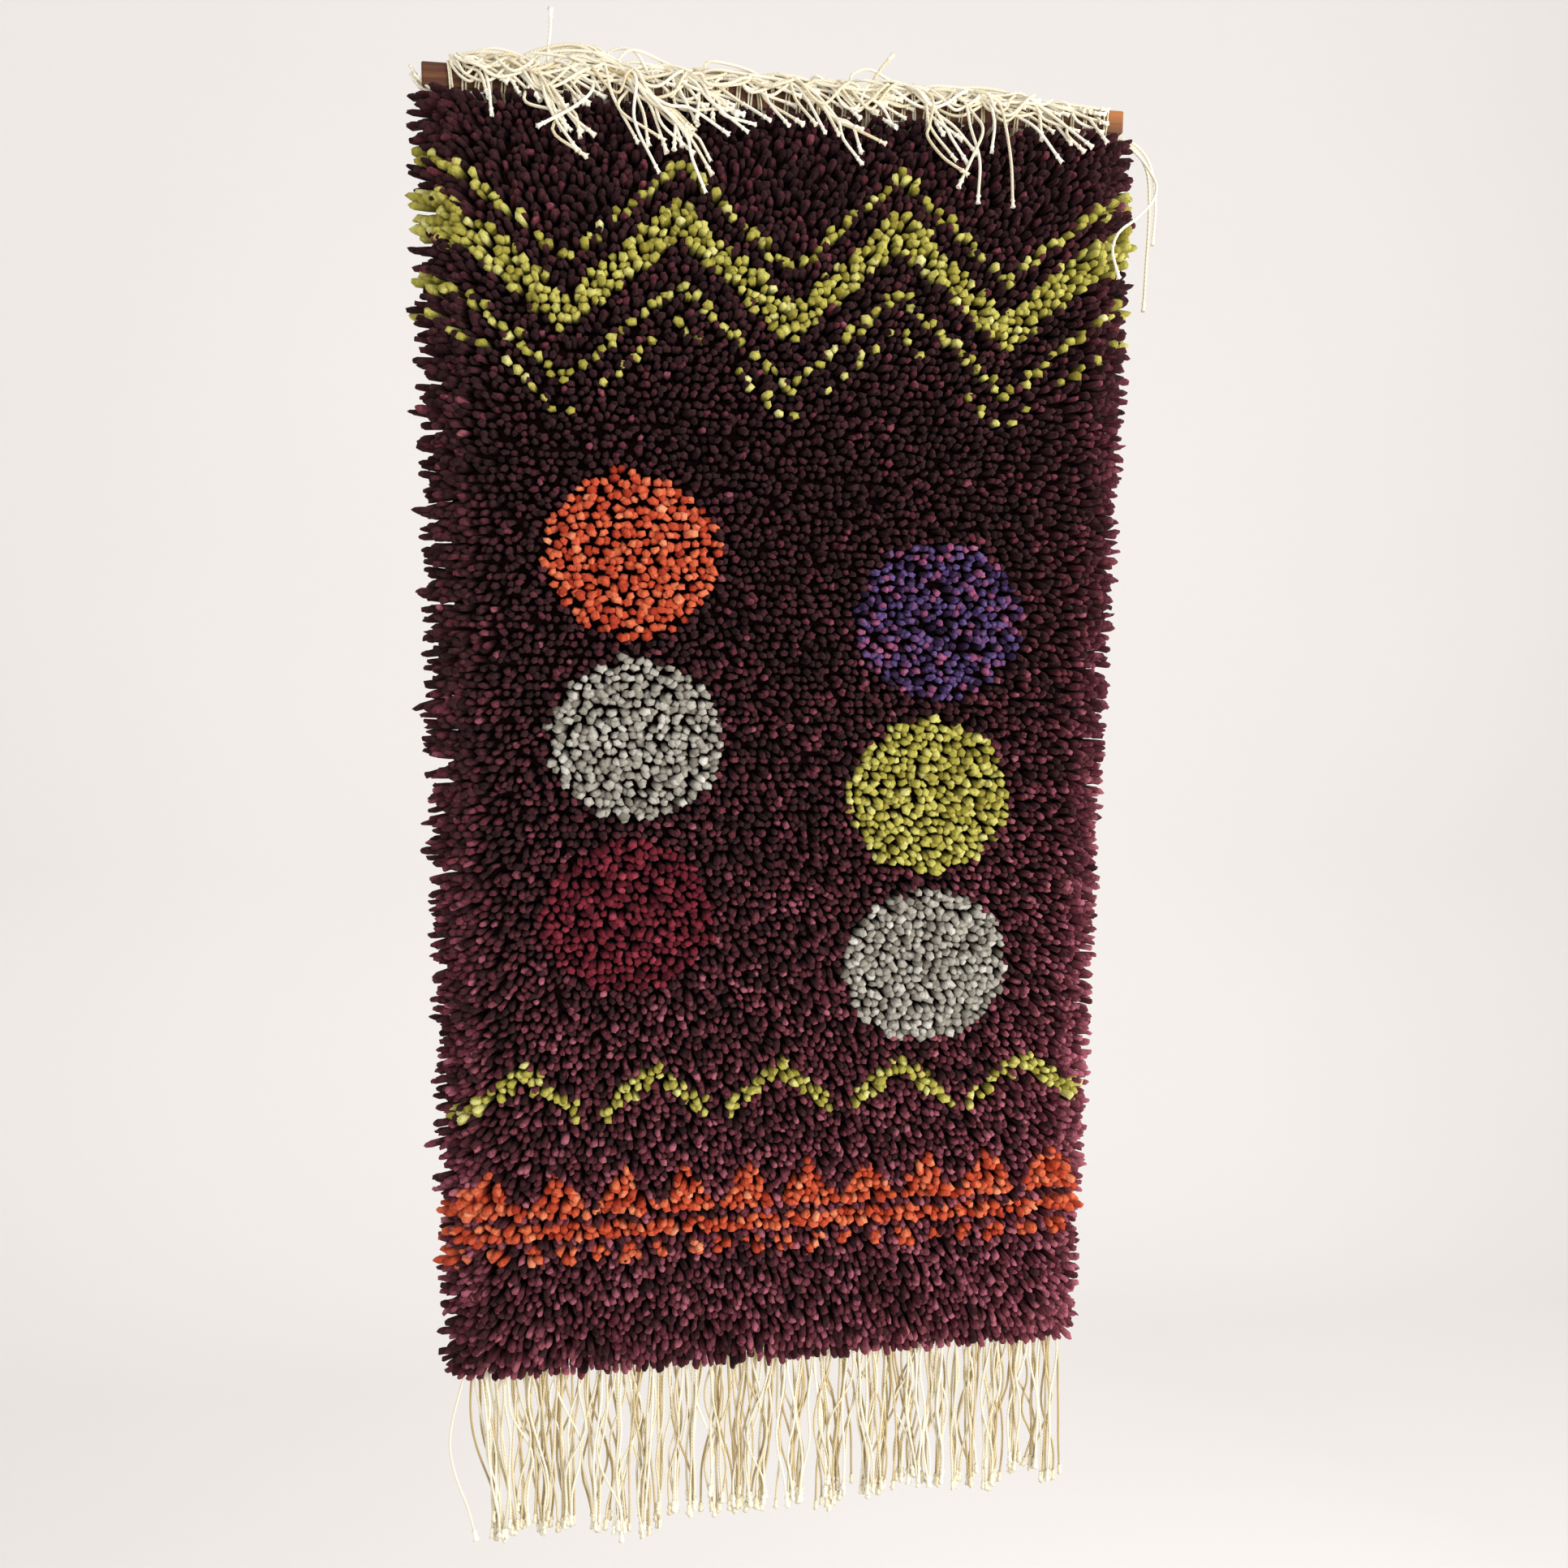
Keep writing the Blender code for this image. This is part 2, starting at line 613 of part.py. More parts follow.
def tangle_body(bm):
    # The tangle itself, a lumpy closed tube along the batten
    pitch = (TANGLE_RIGHT - TANGLE_LEFT) / TANGLE_ENDS
    columns = [TANGLE_LEFT]
    for i in range(TANGLE_ENDS):
        x = TANGLE_LEFT + pitch * (i + 0.5)
        columns += [x - TANGLE_LOCK / 2, x + TANGLE_LOCK / 2]
    columns.append(TANGLE_RIGHT)
    sections = [tangle_section(x) for x in columns]
    around = len(sections[0])
    made = bmesh.ops.create_grid(bm, x_segments=len(columns) - 1, y_segments=around, size=0.5)
    for corner in made["verts"]:
        column = round((corner.co.x + 0.5) * (len(columns) - 1))
        turn = round((corner.co.y + 0.5) * around) % around
        y, z = sections[column][turn]
        corner.co = (columns[column], y, z)
    bmesh.ops.remove_doubles(bm, verts=bm.verts, dist=0.000001)
    bmesh.ops.holes_fill(bm, edges=[edge for edge in bm.edges if edge.is_boundary], sides=0)
    bmesh.ops.recalc_face_normals(bm, faces=bm.faces)
    bm.normal_update()


def narrow_faces(bm, belongs):
    # The faces on the narrow columns where ends are rooted, from left to right
    found = []
    for face in bm.faces:
        across = [corner.co.x for corner in face.verts]
        narrow = len(across) == 4 and max(across) - min(across) < TANGLE_LOCK * 1.1
        if narrow and belongs(face, face.calc_center_median()):
            found.append(face)
    found.sort(key=lambda face: face.calc_center_median().x)
    return found


def on_bulge(face, middle):
    low, high = BATTEN_TOP - BULGE_LOWER, BATTEN_TOP - BULGE_UPPER
    return face.normal.y < -0.3 and low < middle.z < high


def on_top(face, middle):
    return face.normal.z > 0.6 and -0.0075 < middle.y < -0.0015


def make_top_fringe(collection, finish):
    bm = bmesh.new()
    tangle_body(bm)
    roots = iter(narrow_faces(bm, on_bulge))
    upper = narrow_faces(bm, on_top)
    for number, bunch in enumerate(BUNCHES):
        for member in range(bunch["ends"]):
            face = next(roots)
            start = face.calc_center_median()
            tip_x = bunch["tip"] + (member - (bunch["ends"] - 1) / 2) * bunch["fan"]
            low = start.z + (bunch["low"] - start.z) * (1.0 - TANGLE_SHORTER * member)
            low = min(low, start.z - TANGLE_LEAST_DROP)
            path = tangle_path(start, tip_x, low, TANGLE_LAYER * (number % 2))
            grow(bm, face, path, (0.9, 0.8, 0.72, 0.68, 0.66, 0.66 * KNOT_SWELL))
    for face in upper[1:-3:OVER_EVERY]:
        upper.remove(face)
        path = over_path(face.calc_center_median())
        grow(bm, face, path, (0.7, 0.6, 0.55, 0.55, 0.55, 0.55 * KNOT_SWELL))
    for end in STANDING_ENDS:
        face = min(upper, key=lambda f: abs(f.calc_center_median().x - end["near"]))
        upper.remove(face)
        start = face.calc_center_median()
        reach = [(end["lean"] * t * t, 0.0, end["rise"] * t) for t in (0.3, 0.65, 1.0)]
        path = flared([start + Vector(step) for step in reach])
        grow(bm, face, path, (0.6, 0.5, 0.45, 0.45 * KNOT_SWELL))
    return add_object("top_fringe", bm, collection, finish)


def main():
    clear_scene()
    hanging = new_collection("pile wall hanging")
    helpers = new_collection("helpers")
    wood = material("batten wood", (0.20, 0.10, 0.055), 0.6)
    cotton = material("warp cotton", (0.80, 0.76, 0.64), 0.9)
    ground = material("ground weave", (0.62, 0.57, 0.47), 0.95)
    wool = material("pile wool", (0.095, 0.022, 0.040), 0.95)
    make_batten(hanging, wood)
    make_loops(hanging, helpers, cotton)
    make_cloth(hanging, ground)
    make_pile(hanging, wool)
    make_bottom_fringe(hanging, cotton)
    make_top_fringe(hanging, cotton)


main()
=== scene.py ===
import math

import bpy
import numpy as np
from mathutils import Matrix, Vector


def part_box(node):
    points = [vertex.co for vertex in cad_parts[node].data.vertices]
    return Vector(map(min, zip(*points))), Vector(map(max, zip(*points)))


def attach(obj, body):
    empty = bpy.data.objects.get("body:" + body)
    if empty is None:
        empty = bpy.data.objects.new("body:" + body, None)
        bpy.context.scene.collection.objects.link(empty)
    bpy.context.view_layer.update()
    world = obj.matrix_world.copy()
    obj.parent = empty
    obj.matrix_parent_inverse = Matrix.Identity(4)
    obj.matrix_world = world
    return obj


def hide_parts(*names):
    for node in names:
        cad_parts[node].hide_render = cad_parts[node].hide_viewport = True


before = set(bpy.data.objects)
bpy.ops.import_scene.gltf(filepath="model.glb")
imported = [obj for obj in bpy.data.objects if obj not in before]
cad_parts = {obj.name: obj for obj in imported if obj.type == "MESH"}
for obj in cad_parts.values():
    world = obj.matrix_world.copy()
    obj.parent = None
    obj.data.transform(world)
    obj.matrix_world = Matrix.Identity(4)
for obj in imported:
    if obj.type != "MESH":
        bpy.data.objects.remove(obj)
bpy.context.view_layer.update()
print("frame loaded")

battenLow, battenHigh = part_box("batten")
clothLow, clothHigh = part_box("ground_weave")
clothTop, clothBottom = clothHigh.z, clothLow.z


# Shader values and materials

class Wire:
    # A shader value that takes part in plain sums
    def __init__(self, finish, socket):
        self.finish = finish
        self.socket = socket

    def sum(self, operation, first, second):
        return self.finish.node("Math", {"operation": operation}, {0: first, 1: second})

    def __add__(self, other):
        return self.sum("ADD", self, other)

    def __radd__(self, other):
        return self.sum("ADD", other, self)

    def __sub__(self, other):
        return self.sum("SUBTRACT", self, other)

    def __mul__(self, other):
        return self.sum("MULTIPLY", self, other)

    def __pow__(self, other):
        return self.sum("POWER", self, other)


class Finish:
    # One material, with its nodes written as expressions
    def __init__(self, name, **constants):
        self.material = bpy.data.materials.new(name)
        self.material.use_nodes = True
        self.tree = self.material.node_tree
        self.shader = self.tree.nodes["Principled BSDF"]
        for socket, value in constants.items():
            self.shader.inputs[socket.replace("_", " ")].default_value = value

    def node(self, kind, settings=None, sockets=None, out=0):
        made = self.tree.nodes.new("ShaderNode" + kind)
        for name, value in (settings or {}).items():
            if name == "stops":
                self.setStops(made.color_ramp, value)
            else:
                setattr(made, name, value)
        for name, value in (sockets or {}).items():
            self.feed(made.inputs[name], value)
        return Wire(self, made.outputs[out])

    def setStops(self, ramp, stops):
        while len(ramp.elements) < len(stops):
            ramp.elements.new(1.0)
        for element, (place, colour) in zip(ramp.elements, stops):
            element.position = place
            element.color = paint(colour)

    def feed(self, socket, value):
        if isinstance(value, Wire):
            self.tree.links.new(value.socket, socket)
        else:
            socket.default_value = paint(value) if isinstance(value, str) else value

    def mixed(self, share, first, second):
        return self.node("Mix", {"data_type": "RGBA"}, {0: share, 6: first, 7: second}, out=2)

    def sine(self, value):
        return self.node("Math", {"operation": "SINE"}, {0: value})

    def attribute(self, name):
        return self.node("Attribute", {"attribute_name": name}, out=2)

    def place(self, scale):
        # The piece's own coordinates, in metres, stretched for a pattern
        coordinates = self.node("TexCoord", out=3)
        return self.node("Mapping", {"vector_type": "POINT"}, {0: coordinates, 3: scale})

    def placeAlong(self, axis):
        # One coordinate of the piece, in metres: 0, 1 or 2 for x, y or z
        return self.node("SeparateXYZ", None, {0: self.place((1.0, 1.0, 1.0))}, out=axis)

    def cloudy(self, scale, detail=2.0, rough=0.5):
        sockets = {"Vector": self.place(scale), "Scale": 1.0, "Detail": detail, "Roughness": rough}
        return self.node("TexNoise", {"noise_dimensions": "3D"}, sockets)

    def ramped(self, value, start, stop, low=0.0):
        # From low to 1 while the value goes from start to stop
        return self.node("MapRange", None, {0: value, 1: start, 2: stop, 3: low, 4: 1.0})

    def bumped(self, height, strength, distance):
        sockets = {"Height": height, "Strength": strength, "Distance": distance}
        self.feed(self.shader.inputs["Normal"], self.node("Bump", None, sockets))

    def painted(self, colour):
        self.feed(self.shader.inputs["Base Color"], colour)


def paint(code):
    # A hex colour as linear numbers
    parts = [int(code[i:i + 2], 16) / 255 for i in (1, 3, 5)]
    linear = [((p + 0.055) / 1.055) ** 2.4 if p > 0.04 else p / 12.92 for p in parts]
    return (*linear, 1.0)


# Shared ways of making pieces

def startPiece():
    bpy.ops.object.select_all(action="DESELECT")


def applyPlace():
    bpy.ops.object.transform_apply(location=True, rotation=True, scale=True)


def editing():
    bpy.ops.object.mode_set(mode="EDIT")
    bpy.ops.mesh.select_all(action="SELECT")


def doneEditing():
    bpy.ops.mesh.select_all(action="SELECT")
    bpy.ops.mesh.normals_make_consistent(inside=False)
    bpy.ops.object.mode_set(mode="OBJECT")
    return bpy.context.object


def pushOut(move, size):
    # One more section of the selected face, moved and resized
    bpy.ops.mesh.extrude_region_move(TRANSFORM_OT_translate={"value": move})
    bpy.ops.transform.resize(value=size)


def takeShape(piece):
    # The modelled piece as arrays: points, and faces that may have any number of corners
    mesh = piece.data
    points = np.array([corner.co for corner in mesh.vertices])
    faces = [list(face.vertices) for face in mesh.polygons]
    bpy.data.objects.remove(piece)
    return {"points": points, "faces": faces}


def eased(t):
    return t * t * (3 - 2 * t)


def tableAt(table, key, value, column):
    # A column of a table at any value of its key, eased between the rows
    keys, found = np.array(table[key]), np.array(table[column])
    row = np.clip(np.searchsorted(keys, value, side="right") - 1, 0, len(keys) - 2)
    t = np.clip((value - keys[row]) / (keys[row + 1] - keys[row]), 0, 1)
    return found[row] + (found[row + 1] - found[row]) * eased(t)


def courses(centres):
    # Directions along each path, and two directions across it that turn with it
    ahead = np.gradient(centres, axis=1)
    ahead /= np.linalg.norm(ahead, axis=2, keepdims=True)
    across = np.zeros_like(ahead)
    helper = np.where(np.abs(ahead[:, 0, 2:3]) < 0.8, [[0.0, 0.0, 1.0]], [[1.0, 0.0, 0.0]])
    for step in range(ahead.shape[1]):
        along = ahead[:, step]
        helper = helper - along * np.sum(helper * along, axis=1, keepdims=True)
        helper /= np.linalg.norm(helper, axis=1, keepdims=True)
        across[:, step] = helper
    return ahead, across, np.cross(ahead, across)


def bendAlong(shape, centres, thick, turn=None):
    # A copy of the shape along each path: x and y across it, z picks the path's station
    points = shape["points"]
    heights = np.unique(np.round(points[:, 2], 5))
    level = np.searchsorted(heights, np.round(points[:, 2], 5))
    ahead, first, second = courses(centres)
    copies = len(centres)
    turn = np.zeros(copies) if turn is None else turn
    cosine, sine = np.cos(turn)[:, None, None], np.sin(turn)[:, None, None]
    first, second = first * cosine + second * sine, second * cosine - first * sine
    thick = np.broadcast_to(thick, (copies, len(heights), 2))[:, level]
    out = centres[:, level]
    out = out + first[:, level] * (points[:, 0] * thick[..., 0])[..., None]
    return out + second[:, level] * (points[:, 1] * thick[..., 1])[..., None]


def placeCopies(shape, spots, ahead, first, size):
    # A copy of the shape at each spot, its z along the direction given
    second = np.cross(ahead, first)
    points = shape["points"][None] * size[:, None, :]
    turned = points[..., 0:1] * first[:, None] + points[..., 1:2] * second[:, None]
    return spots[:, None] + turned + points[..., 2:3] * ahead[:, None]


def fill(items, key, values, kind=np.float32):
    items.foreach_set(key, np.asarray(values, kind).ravel())


def joinCopies(name, shape, points, finish, values=None, colours=None, uvs=None):
    # One mesh of many copies of a shape. Values hold a number for each point or each copy,
    # and colours one for each copy
    copies, corners = points.shape[:2]
    lengths = np.array([len(face) for face in shape["faces"]])
    indices = np.concatenate([np.array(face) for face in shape["faces"]])
    indices = (indices[None] + np.arange(copies)[:, None] * corners).ravel()
    starts = np.concatenate([[0], np.cumsum(np.tile(lengths, copies))[:-1]])
    mesh = bpy.data.meshes.new(name)
    mesh.vertices.add(copies * corners)
    fill(mesh.vertices, "co", points)
    mesh.loops.add(len(indices))
    fill(mesh.loops, "vertex_index", indices, np.int32)
    mesh.polygons.add(len(starts))
    fill(mesh.polygons, "loop_start", starts, np.int32)
    fill(mesh.polygons, "use_smooth", np.ones(len(starts)), bool)
    for key, value in (values or {}).items():
        layer = mesh.attributes.new(key, "FLOAT", "POINT")
        fill(layer.data, "value", np.broadcast_to(value, (copies, corners)))
    if colours is not None:
        layer = mesh.attributes.new("dyed", "FLOAT_COLOR", "POINT")
        fill(layer.data, "color", np.broadcast_to(colours[:, None], (copies, corners, 4)))
    if uvs is not None:
        fill(mesh.uv_layers.new(name="UVMap").data, "uv", uvs)
    mesh.update(calc_edges=True)
    mesh.materials.append(finish.material)
    piece = bpy.data.objects.new(name, mesh)
    bpy.context.scene.collection.objects.link(piece)
    return piece


def settle(piece, slot, *nodes):
    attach(piece, "root")
    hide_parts(*nodes)
    return piece


# How the cloth hangs: the distance that its left and right edges stand forward, down its drop

hang = {
    "drop": (0.0, 0.16, 0.36, 0.58, 0.82, 1.0, 1.2),
    "left": (0.0, 0.0025, 0.0012, 0.003, 0.0012, 0.0026, 0.005),
    "right": (0.0, 0.002, 0.003, 0.0014, 0.0028, 0.0018, 0.0038),
    "wide": 0.6,
    "thick": 0.003,
    "front": -0.0065,
    "wander": 0.0015,
}


def forward(x, z):
    drop = np.maximum(0.0, clothTop - z)
    left = tableAt(hang, "drop", drop, "left")
    right = tableAt(hang, "drop", drop, "right")
    return left + (right - left) * (x / hang["wide"] + 0.5)


# Camera, at the photograph's place

viewpoint = {
    "eye": (-0.2049, -1.3156, -0.4361),
    "ahead": (0.1559, 0.9785, -0.1354),
    "up": (0.0066, 0.136, 0.9907),
    "lens": 32.2,
}


def placeCamera():
    bpy.ops.object.camera_add(location=viewpoint["eye"])
    camera = bpy.context.object
    ahead = Vector(viewpoint["ahead"]).normalized()
    right = ahead.cross(Vector(viewpoint["up"])).normalized()
    turn = Matrix((right, right.cross(ahead), -ahead)).transposed()
    camera.matrix_world = Matrix.Translation(viewpoint["eye"]) @ turn.to_4x4()
    camera.data.lens = viewpoint["lens"]
    camera.data.clip_end = 60
    bpy.context.scene.camera = camera


placeCamera()
print("camera placed")


# Stage: a pale floor that curves up far behind, and soft light from the right

stage = {
    "floor": -2.6,
    "front": -7.0,
    "back": 3.6,
    "half": 16.0,
    "wall": 6.5,
    "curve": 1.2,
    "colour": "#e9e6e2",
    "shade": "#e4e1dd",
    "aim": (0.0, 0.0, -0.65),
    "world": "#f1f0f2",
    "worldStrength": 1.12,
    "lamps": (
        {"name": "key", "at": (2.5, -1.9, -0.35), "size": 1.6, "power": 96,
         "tint": (1.0, 0.985, 0.96)},
        {"name": "rim", "at": (2.0, 1.0, -0.5), "size": 1.2, "power": 11,
         "tint": (1.0, 1.0, 1.0)},
    ),
}


def selectBackEdges(floor, below):
    # The edges at the back of the stage that lie under a height
    bpy.ops.object.mode_set(mode="OBJECT")
    for edge in floor.data.edges:
        ends = [floor.data.vertices[v].co for v in edge.vertices]
        edge.select = all(end.y > stage["back"] - 0.01 and end.z < below for end in ends)
    bpy.ops.object.mode_set(mode="EDIT")


def makeStage():
    startPiece()
    bpy.ops.mesh.primitive_plane_add(size=1, location=(0, 0, 0))
    floor = bpy.context.object
    floor.name = "floor"
    editing()
    deep = stage["back"] - stage["front"]
    bpy.ops.transform.resize(value=(2 * stage["half"], deep, 1))
    middle = (stage["back"] + stage["front"]) / 2
    bpy.ops.transform.translate(value=(0, middle, stage["floor"]))
    bpy.ops.mesh.select_mode(type="EDGE")
    bpy.ops.mesh.select_all(action="DESELECT")
    low = stage["floor"] + 0.01
    selectBackEdges(floor, low)
    bpy.ops.mesh.extrude_region_move(TRANSFORM_OT_translate={"value": (0, 0, stage["wall"])})
    selectBackEdges(floor, low)
    bpy.ops.mesh.bevel(offset=stage["curve"], segments=16)
    bpy.ops.object.mode_set(mode="OBJECT")
    bpy.ops.object.shade_smooth()
    pale = Finish("stage pale", Roughness=0.95, Specular_IOR_Level=0.1)
    pale.painted(pale.mixed(pale.cloudy((0.6, 0.6, 0.6)), stage["colour"], stage["shade"]))
    floor.data.materials.append(pale.material)
    for lamp in stage["lamps"]:
        bpy.ops.object.light_add(type="AREA", location=lamp["at"])
        light = bpy.context.object
        light.name = lamp["name"]
        light.data.size = lamp["size"]
        light.data.energy = lamp["power"]
        light.data.color = lamp["tint"]
        aim = Vector(stage["aim"]) - light.location
        light.rotation_euler = aim.to_track_quat("-Z", "Y").to_euler()
    world = bpy.data.worlds.new("studio")
    world.use_nodes = True
    sky = world.node_tree.nodes["Background"].inputs
    sky["Color"].default_value = paint(stage["world"])
    sky["Strength"].default_value = stage["worldStrength"]
    bpy.context.scene.world = world
    bpy.context.scene.view_settings.view_transform = "Standard"


makeStage()
print("stage set")


# Batten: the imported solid, with sawn dark wood

wood = {
    "dark": "#2b150b",
    "middle": "#54301c",
    "light": "#80502d",
    # end: a lighter orange-brown painted on the right end, most at its top: painted light from the lamps
    # on the right
    "end": "#b8753c",
    "endFrom": 0.288,
    "endTo": 0.3,
    "litTopFrom": -0.004,
    "litTopTo": 0.005,
    "grain": (9.0, 260.0, 260.0),
    "fibres": (60.0, 1500.0, 1500.0),
}


def finishBatten():
    lath = Finish("batten wood", Roughness=0.62, Specular_IOR_Level=0.35)
    grain = lath.cloudy(wood["grain"], detail=4.0, rough=0.6)
    fibres = lath.cloudy(wood["fibres"], detail=3.0, rough=0.65)
    stops = ((0.28, wood["dark"]), (0.5, wood["middle"]), (0.74, wood["light"]))
    colour = lath.node("ValToRGB", {"stops": stops}, {0: grain * 0.7 + fibres * 0.3})
    # Painted light: the right end takes the lighter colour, most at its top
    litEnd = lath.ramped(lath.placeAlong(0), wood["endFrom"], wood["endTo"])
    litTop = lath.ramped(lath.placeAlong(2), wood["litTopFrom"], wood["litTopTo"], low=0.35)
    lath.painted(lath.mixed(litEnd * litTop * (0.4 + fibres * 0.6), colour, wood["end"]))
    lath.feed(lath.shader.inputs["Roughness"], 0.5 + fibres * 0.3)
    lath.bumped(grain * 0.4 + fibres * 0.6, 0.5, 0.0006)
    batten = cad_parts["batten"]
    batten.data.materials.clear()
    batten.data.materials.append(lath.material)


finishBatten()
print("batten finished")


# The design in the pile: generic zigzags, rounds, chevrons and a sawtooth band

design = {
    "zigzagWide": 0.2,
    "zigzagTall": 0.085,
    "zigzags": (
        {"drop": 0.05, "thick": 0.0045, "every": 1},
        {"drop": 0.095, "thick": 0.0175, "every": 1},
        {"drop": 0.15, "thick": 0.0045, "every": 1},
        {"drop": 0.18, "thick": 0.0045, "every": 2},
    ),
    "roundWide": 0.079,
    "roundTall": 0.074,
    "rounds": (
        {"x": -0.142, "drop": 0.385, "dye": "orange"},
        {"x": 0.145, "drop": 0.44, "dye": "violet"},
        {"x": -0.138, "drop": 0.552, "dye": "silver"},
        {"x": 0.14, "drop": 0.606, "dye": "chartreuse"},
        {"x": -0.145, "drop": 0.718, "dye": "crimson"},
        {"x": 0.142, "drop": 0.772, "dye": "silver"},
    ),
    "chevronWide": 0.12,
    "chevronTall": 0.05,
    "chevronDrop": 0.868,
    "chevronThick": 0.009,
    "toothWide": 0.06,
    "toothTop": 0.962,
    "toothTall": 0.046,
    "stripeTop": 1.02,
    "stripeTall": 0.01,
    "dotTop": 1.04,
    "dotTall": 0.017,
    "dotWide": 0.03,
    "half": 0.297,
}
dyes = ("plum", "chartreuse", "silver", "orange", "violet", "crimson")


def wave(x, wide):
    # A triangle wave across the cloth, from 0 to 1 and back
    return np.abs(((x / wide) % 1.0) * 2 - 1)


def dyeAt(x, drop, column):
    # Number of the dye of the knot at each place
    found = np.zeros(x.shape, int)
    chartreuse, orange = dyes.index("chartreuse"), dyes.index("orange")
    for line in design["zigzags"]:
        middle = line["drop"] + design["zigzagTall"] * wave(x, design["zigzagWide"])
        on = (np.abs(drop - middle) < line["thick"]) & (column % line["every"] == 0)
        found[on] = chartreuse
    for spot in design["rounds"]:
        across = (x - spot["x"]) / design["roundWide"]
        down = (drop - spot["drop"]) / design["roundTall"]
        found[across ** 2 + down ** 2 < 1.0] = dyes.index(spot["dye"])
    tip = wave(x + design["chevronWide"] / 2, design["chevronWide"])
    middle = design["chevronDrop"] + design["chevronTall"] * tip
    on = (np.abs(drop - middle) < design["chevronThick"]) & (tip < 0.82)
    found[on] = chartreuse
    inTeeth = (drop - design["toothTop"]) / design["toothTall"]
    found[(inTeeth > wave(x, design["toothWide"])) & (inTeeth < 1.0)] = orange
    inStripe = (drop > design["stripeTop"]) & (drop < design["stripeTop"] + design["stripeTall"])
    found[inStripe] = orange
    inDots = (drop > design["dotTop"]) & (drop < design["dotTop"] + design["dotTall"])
    found[inDots & (((x / design["dotWide"]) % 1.0) < 0.5)] = orange
    return found


# Pile: one cut yarn end, modelled once, and planted row by row

pile = {
    "top": -0.0195,
    "bottom": -1.177,
    "row": 0.0076,
    "column": 0.0072,
    "sides": 5,
    "taper": 0.0055,
    "radius": 0.0036,
    "uneven": (0.84, 1.14),
    "oval": (0.92, 1.34),
    "turn": 0.5,
    "dent": 0.15,
    "bend": 0.0014,
    "thick": {
        "plum": 0.92, "chartreuse": 1.16, "silver": 1.22,
        "orange": 1.18, "violet": 1.04, "crimson": 1.06},
}
# The knots all over the cloth: how far their ends reach, and how they lean out and down in degrees
knots = {
    "offset": 0.5,
    "rowShift": 0.12,
    "slipAcross": 0.0008,
    "slipDown": 0.0006,
    "deep": 0.025,
    "deepAtTop": 0.016,
    "settle": 0.045,
    "deepUneven": 0.0016,
    "deepSway": 0.0012,
    "edgeLean": 60,
    "edgeReach": 0.028,
    "outUneven": 4.6,
    "hemLean": 30,
    "hemReach": 0.022,
    "downUneven": 2.6,
    "sway": 4.0,
    "sink": 4,
    "topLift": 18,
    "topShare": 0.3,
}
# The locks along both sides: each row ends in a fan of yarn ends of these angles
edge = {
    "fan": (86, 77, 68, 58, 47, 36),
    "flanks": (
        {"side": -1.0, "long": 0.037, "shrink": 0.05},
        {"side": 1.0, "long": 0.03, "shrink": 0.15},
    ),
    "leftPoint": 0.28,
    "rightPoint": 0.42,
    "thicker": 1.26,
    "uneven": (0.8, 1.04),
    "longerShare": 0.06,
    "longer": 1.14,
    "firstRow": 0.82,
    "tilt": 3,
    "hemTilt": 16,
    "topTilt": 8,
    "inset": 0.0012,
    "step": 0.0034,
    "shorter": 0.05,
}
# The ends that hang over the roots of the fringe
hem = {
    "fan": (64, 50, 34),
    "long": 0.02,
    "pitch": 0.92,
    "uneven": (0.82, 1.14),
    "step": 0.0045,
    "edgeLean": 40,
    "edgeReach": 0.012,
}
# How pale an end is, as a share of its dye's ramp: random tone, and painted light that makes the ends
# paler low down and towards the right
light = {
    "base": 0.17,
    "lower": 0.26,
    "spread": 0.11,
    "spreadLower": 0.09,
    "patch": 0.08,
    "lowerRight": 0.11,
    "litRightEdge": 0.26,
    "edgeReach": 0.035,
    "pale": (0.2, 0.4),
    "paleShare": 0.03,
    "paleLitLower": 0.13,
    "dyed": 0.42,
    "dyedSpread": 0.2,
}
rings = (  # a yarn end from its knot to its cut end: height and width
    {"high": 0.0, "wide": 0.6},
    {"high": 0.55, "wide": 0.92},
    {"high": 0.86, "wide": 1.0},
    {"high": 0.97, "wide": 0.68},
)


def modelTuft():
    startPiece()
    bpy.ops.mesh.primitive_circle_add(
        vertices=pile["sides"], radius=rings[0]["wide"], fill_type="NGON")
    editing()
    for before, after in zip(rings, rings[1:]):
        share = after["wide"] / before["wide"]
        pushOut((0, 0, after["high"] - before["high"]), (share, share, 1))
    bpy.ops.mesh.poke(offset=0.04)
    tuft = doneEditing()
    return takeShape(tuft)


def smoothNoise(x, z, size, seed):
    # Slow random change over the cloth, from -1 to 1, from a few crossing waves
    dice = np.random.default_rng(seed)
    total = np.zeros(x.shape)
    for _ in range(9):
        angle, phase = dice.uniform(0, math.tau, 2)
        pace = math.tau / size * dice.uniform(0.6, 1.6)
        total += np.sin(pace * (x * math.cos(angle) + z * math.sin(angle)) + phase)
    return total / 4.5


def halfWide(share):
    # Half of the pile's width at its roots, at a share of the way down
    return hang["wide"] / 2 - pile["taper"] * share


def rowHeight(share):
    return pile["top"] + (pile["bottom"] - pile["top"]) * share


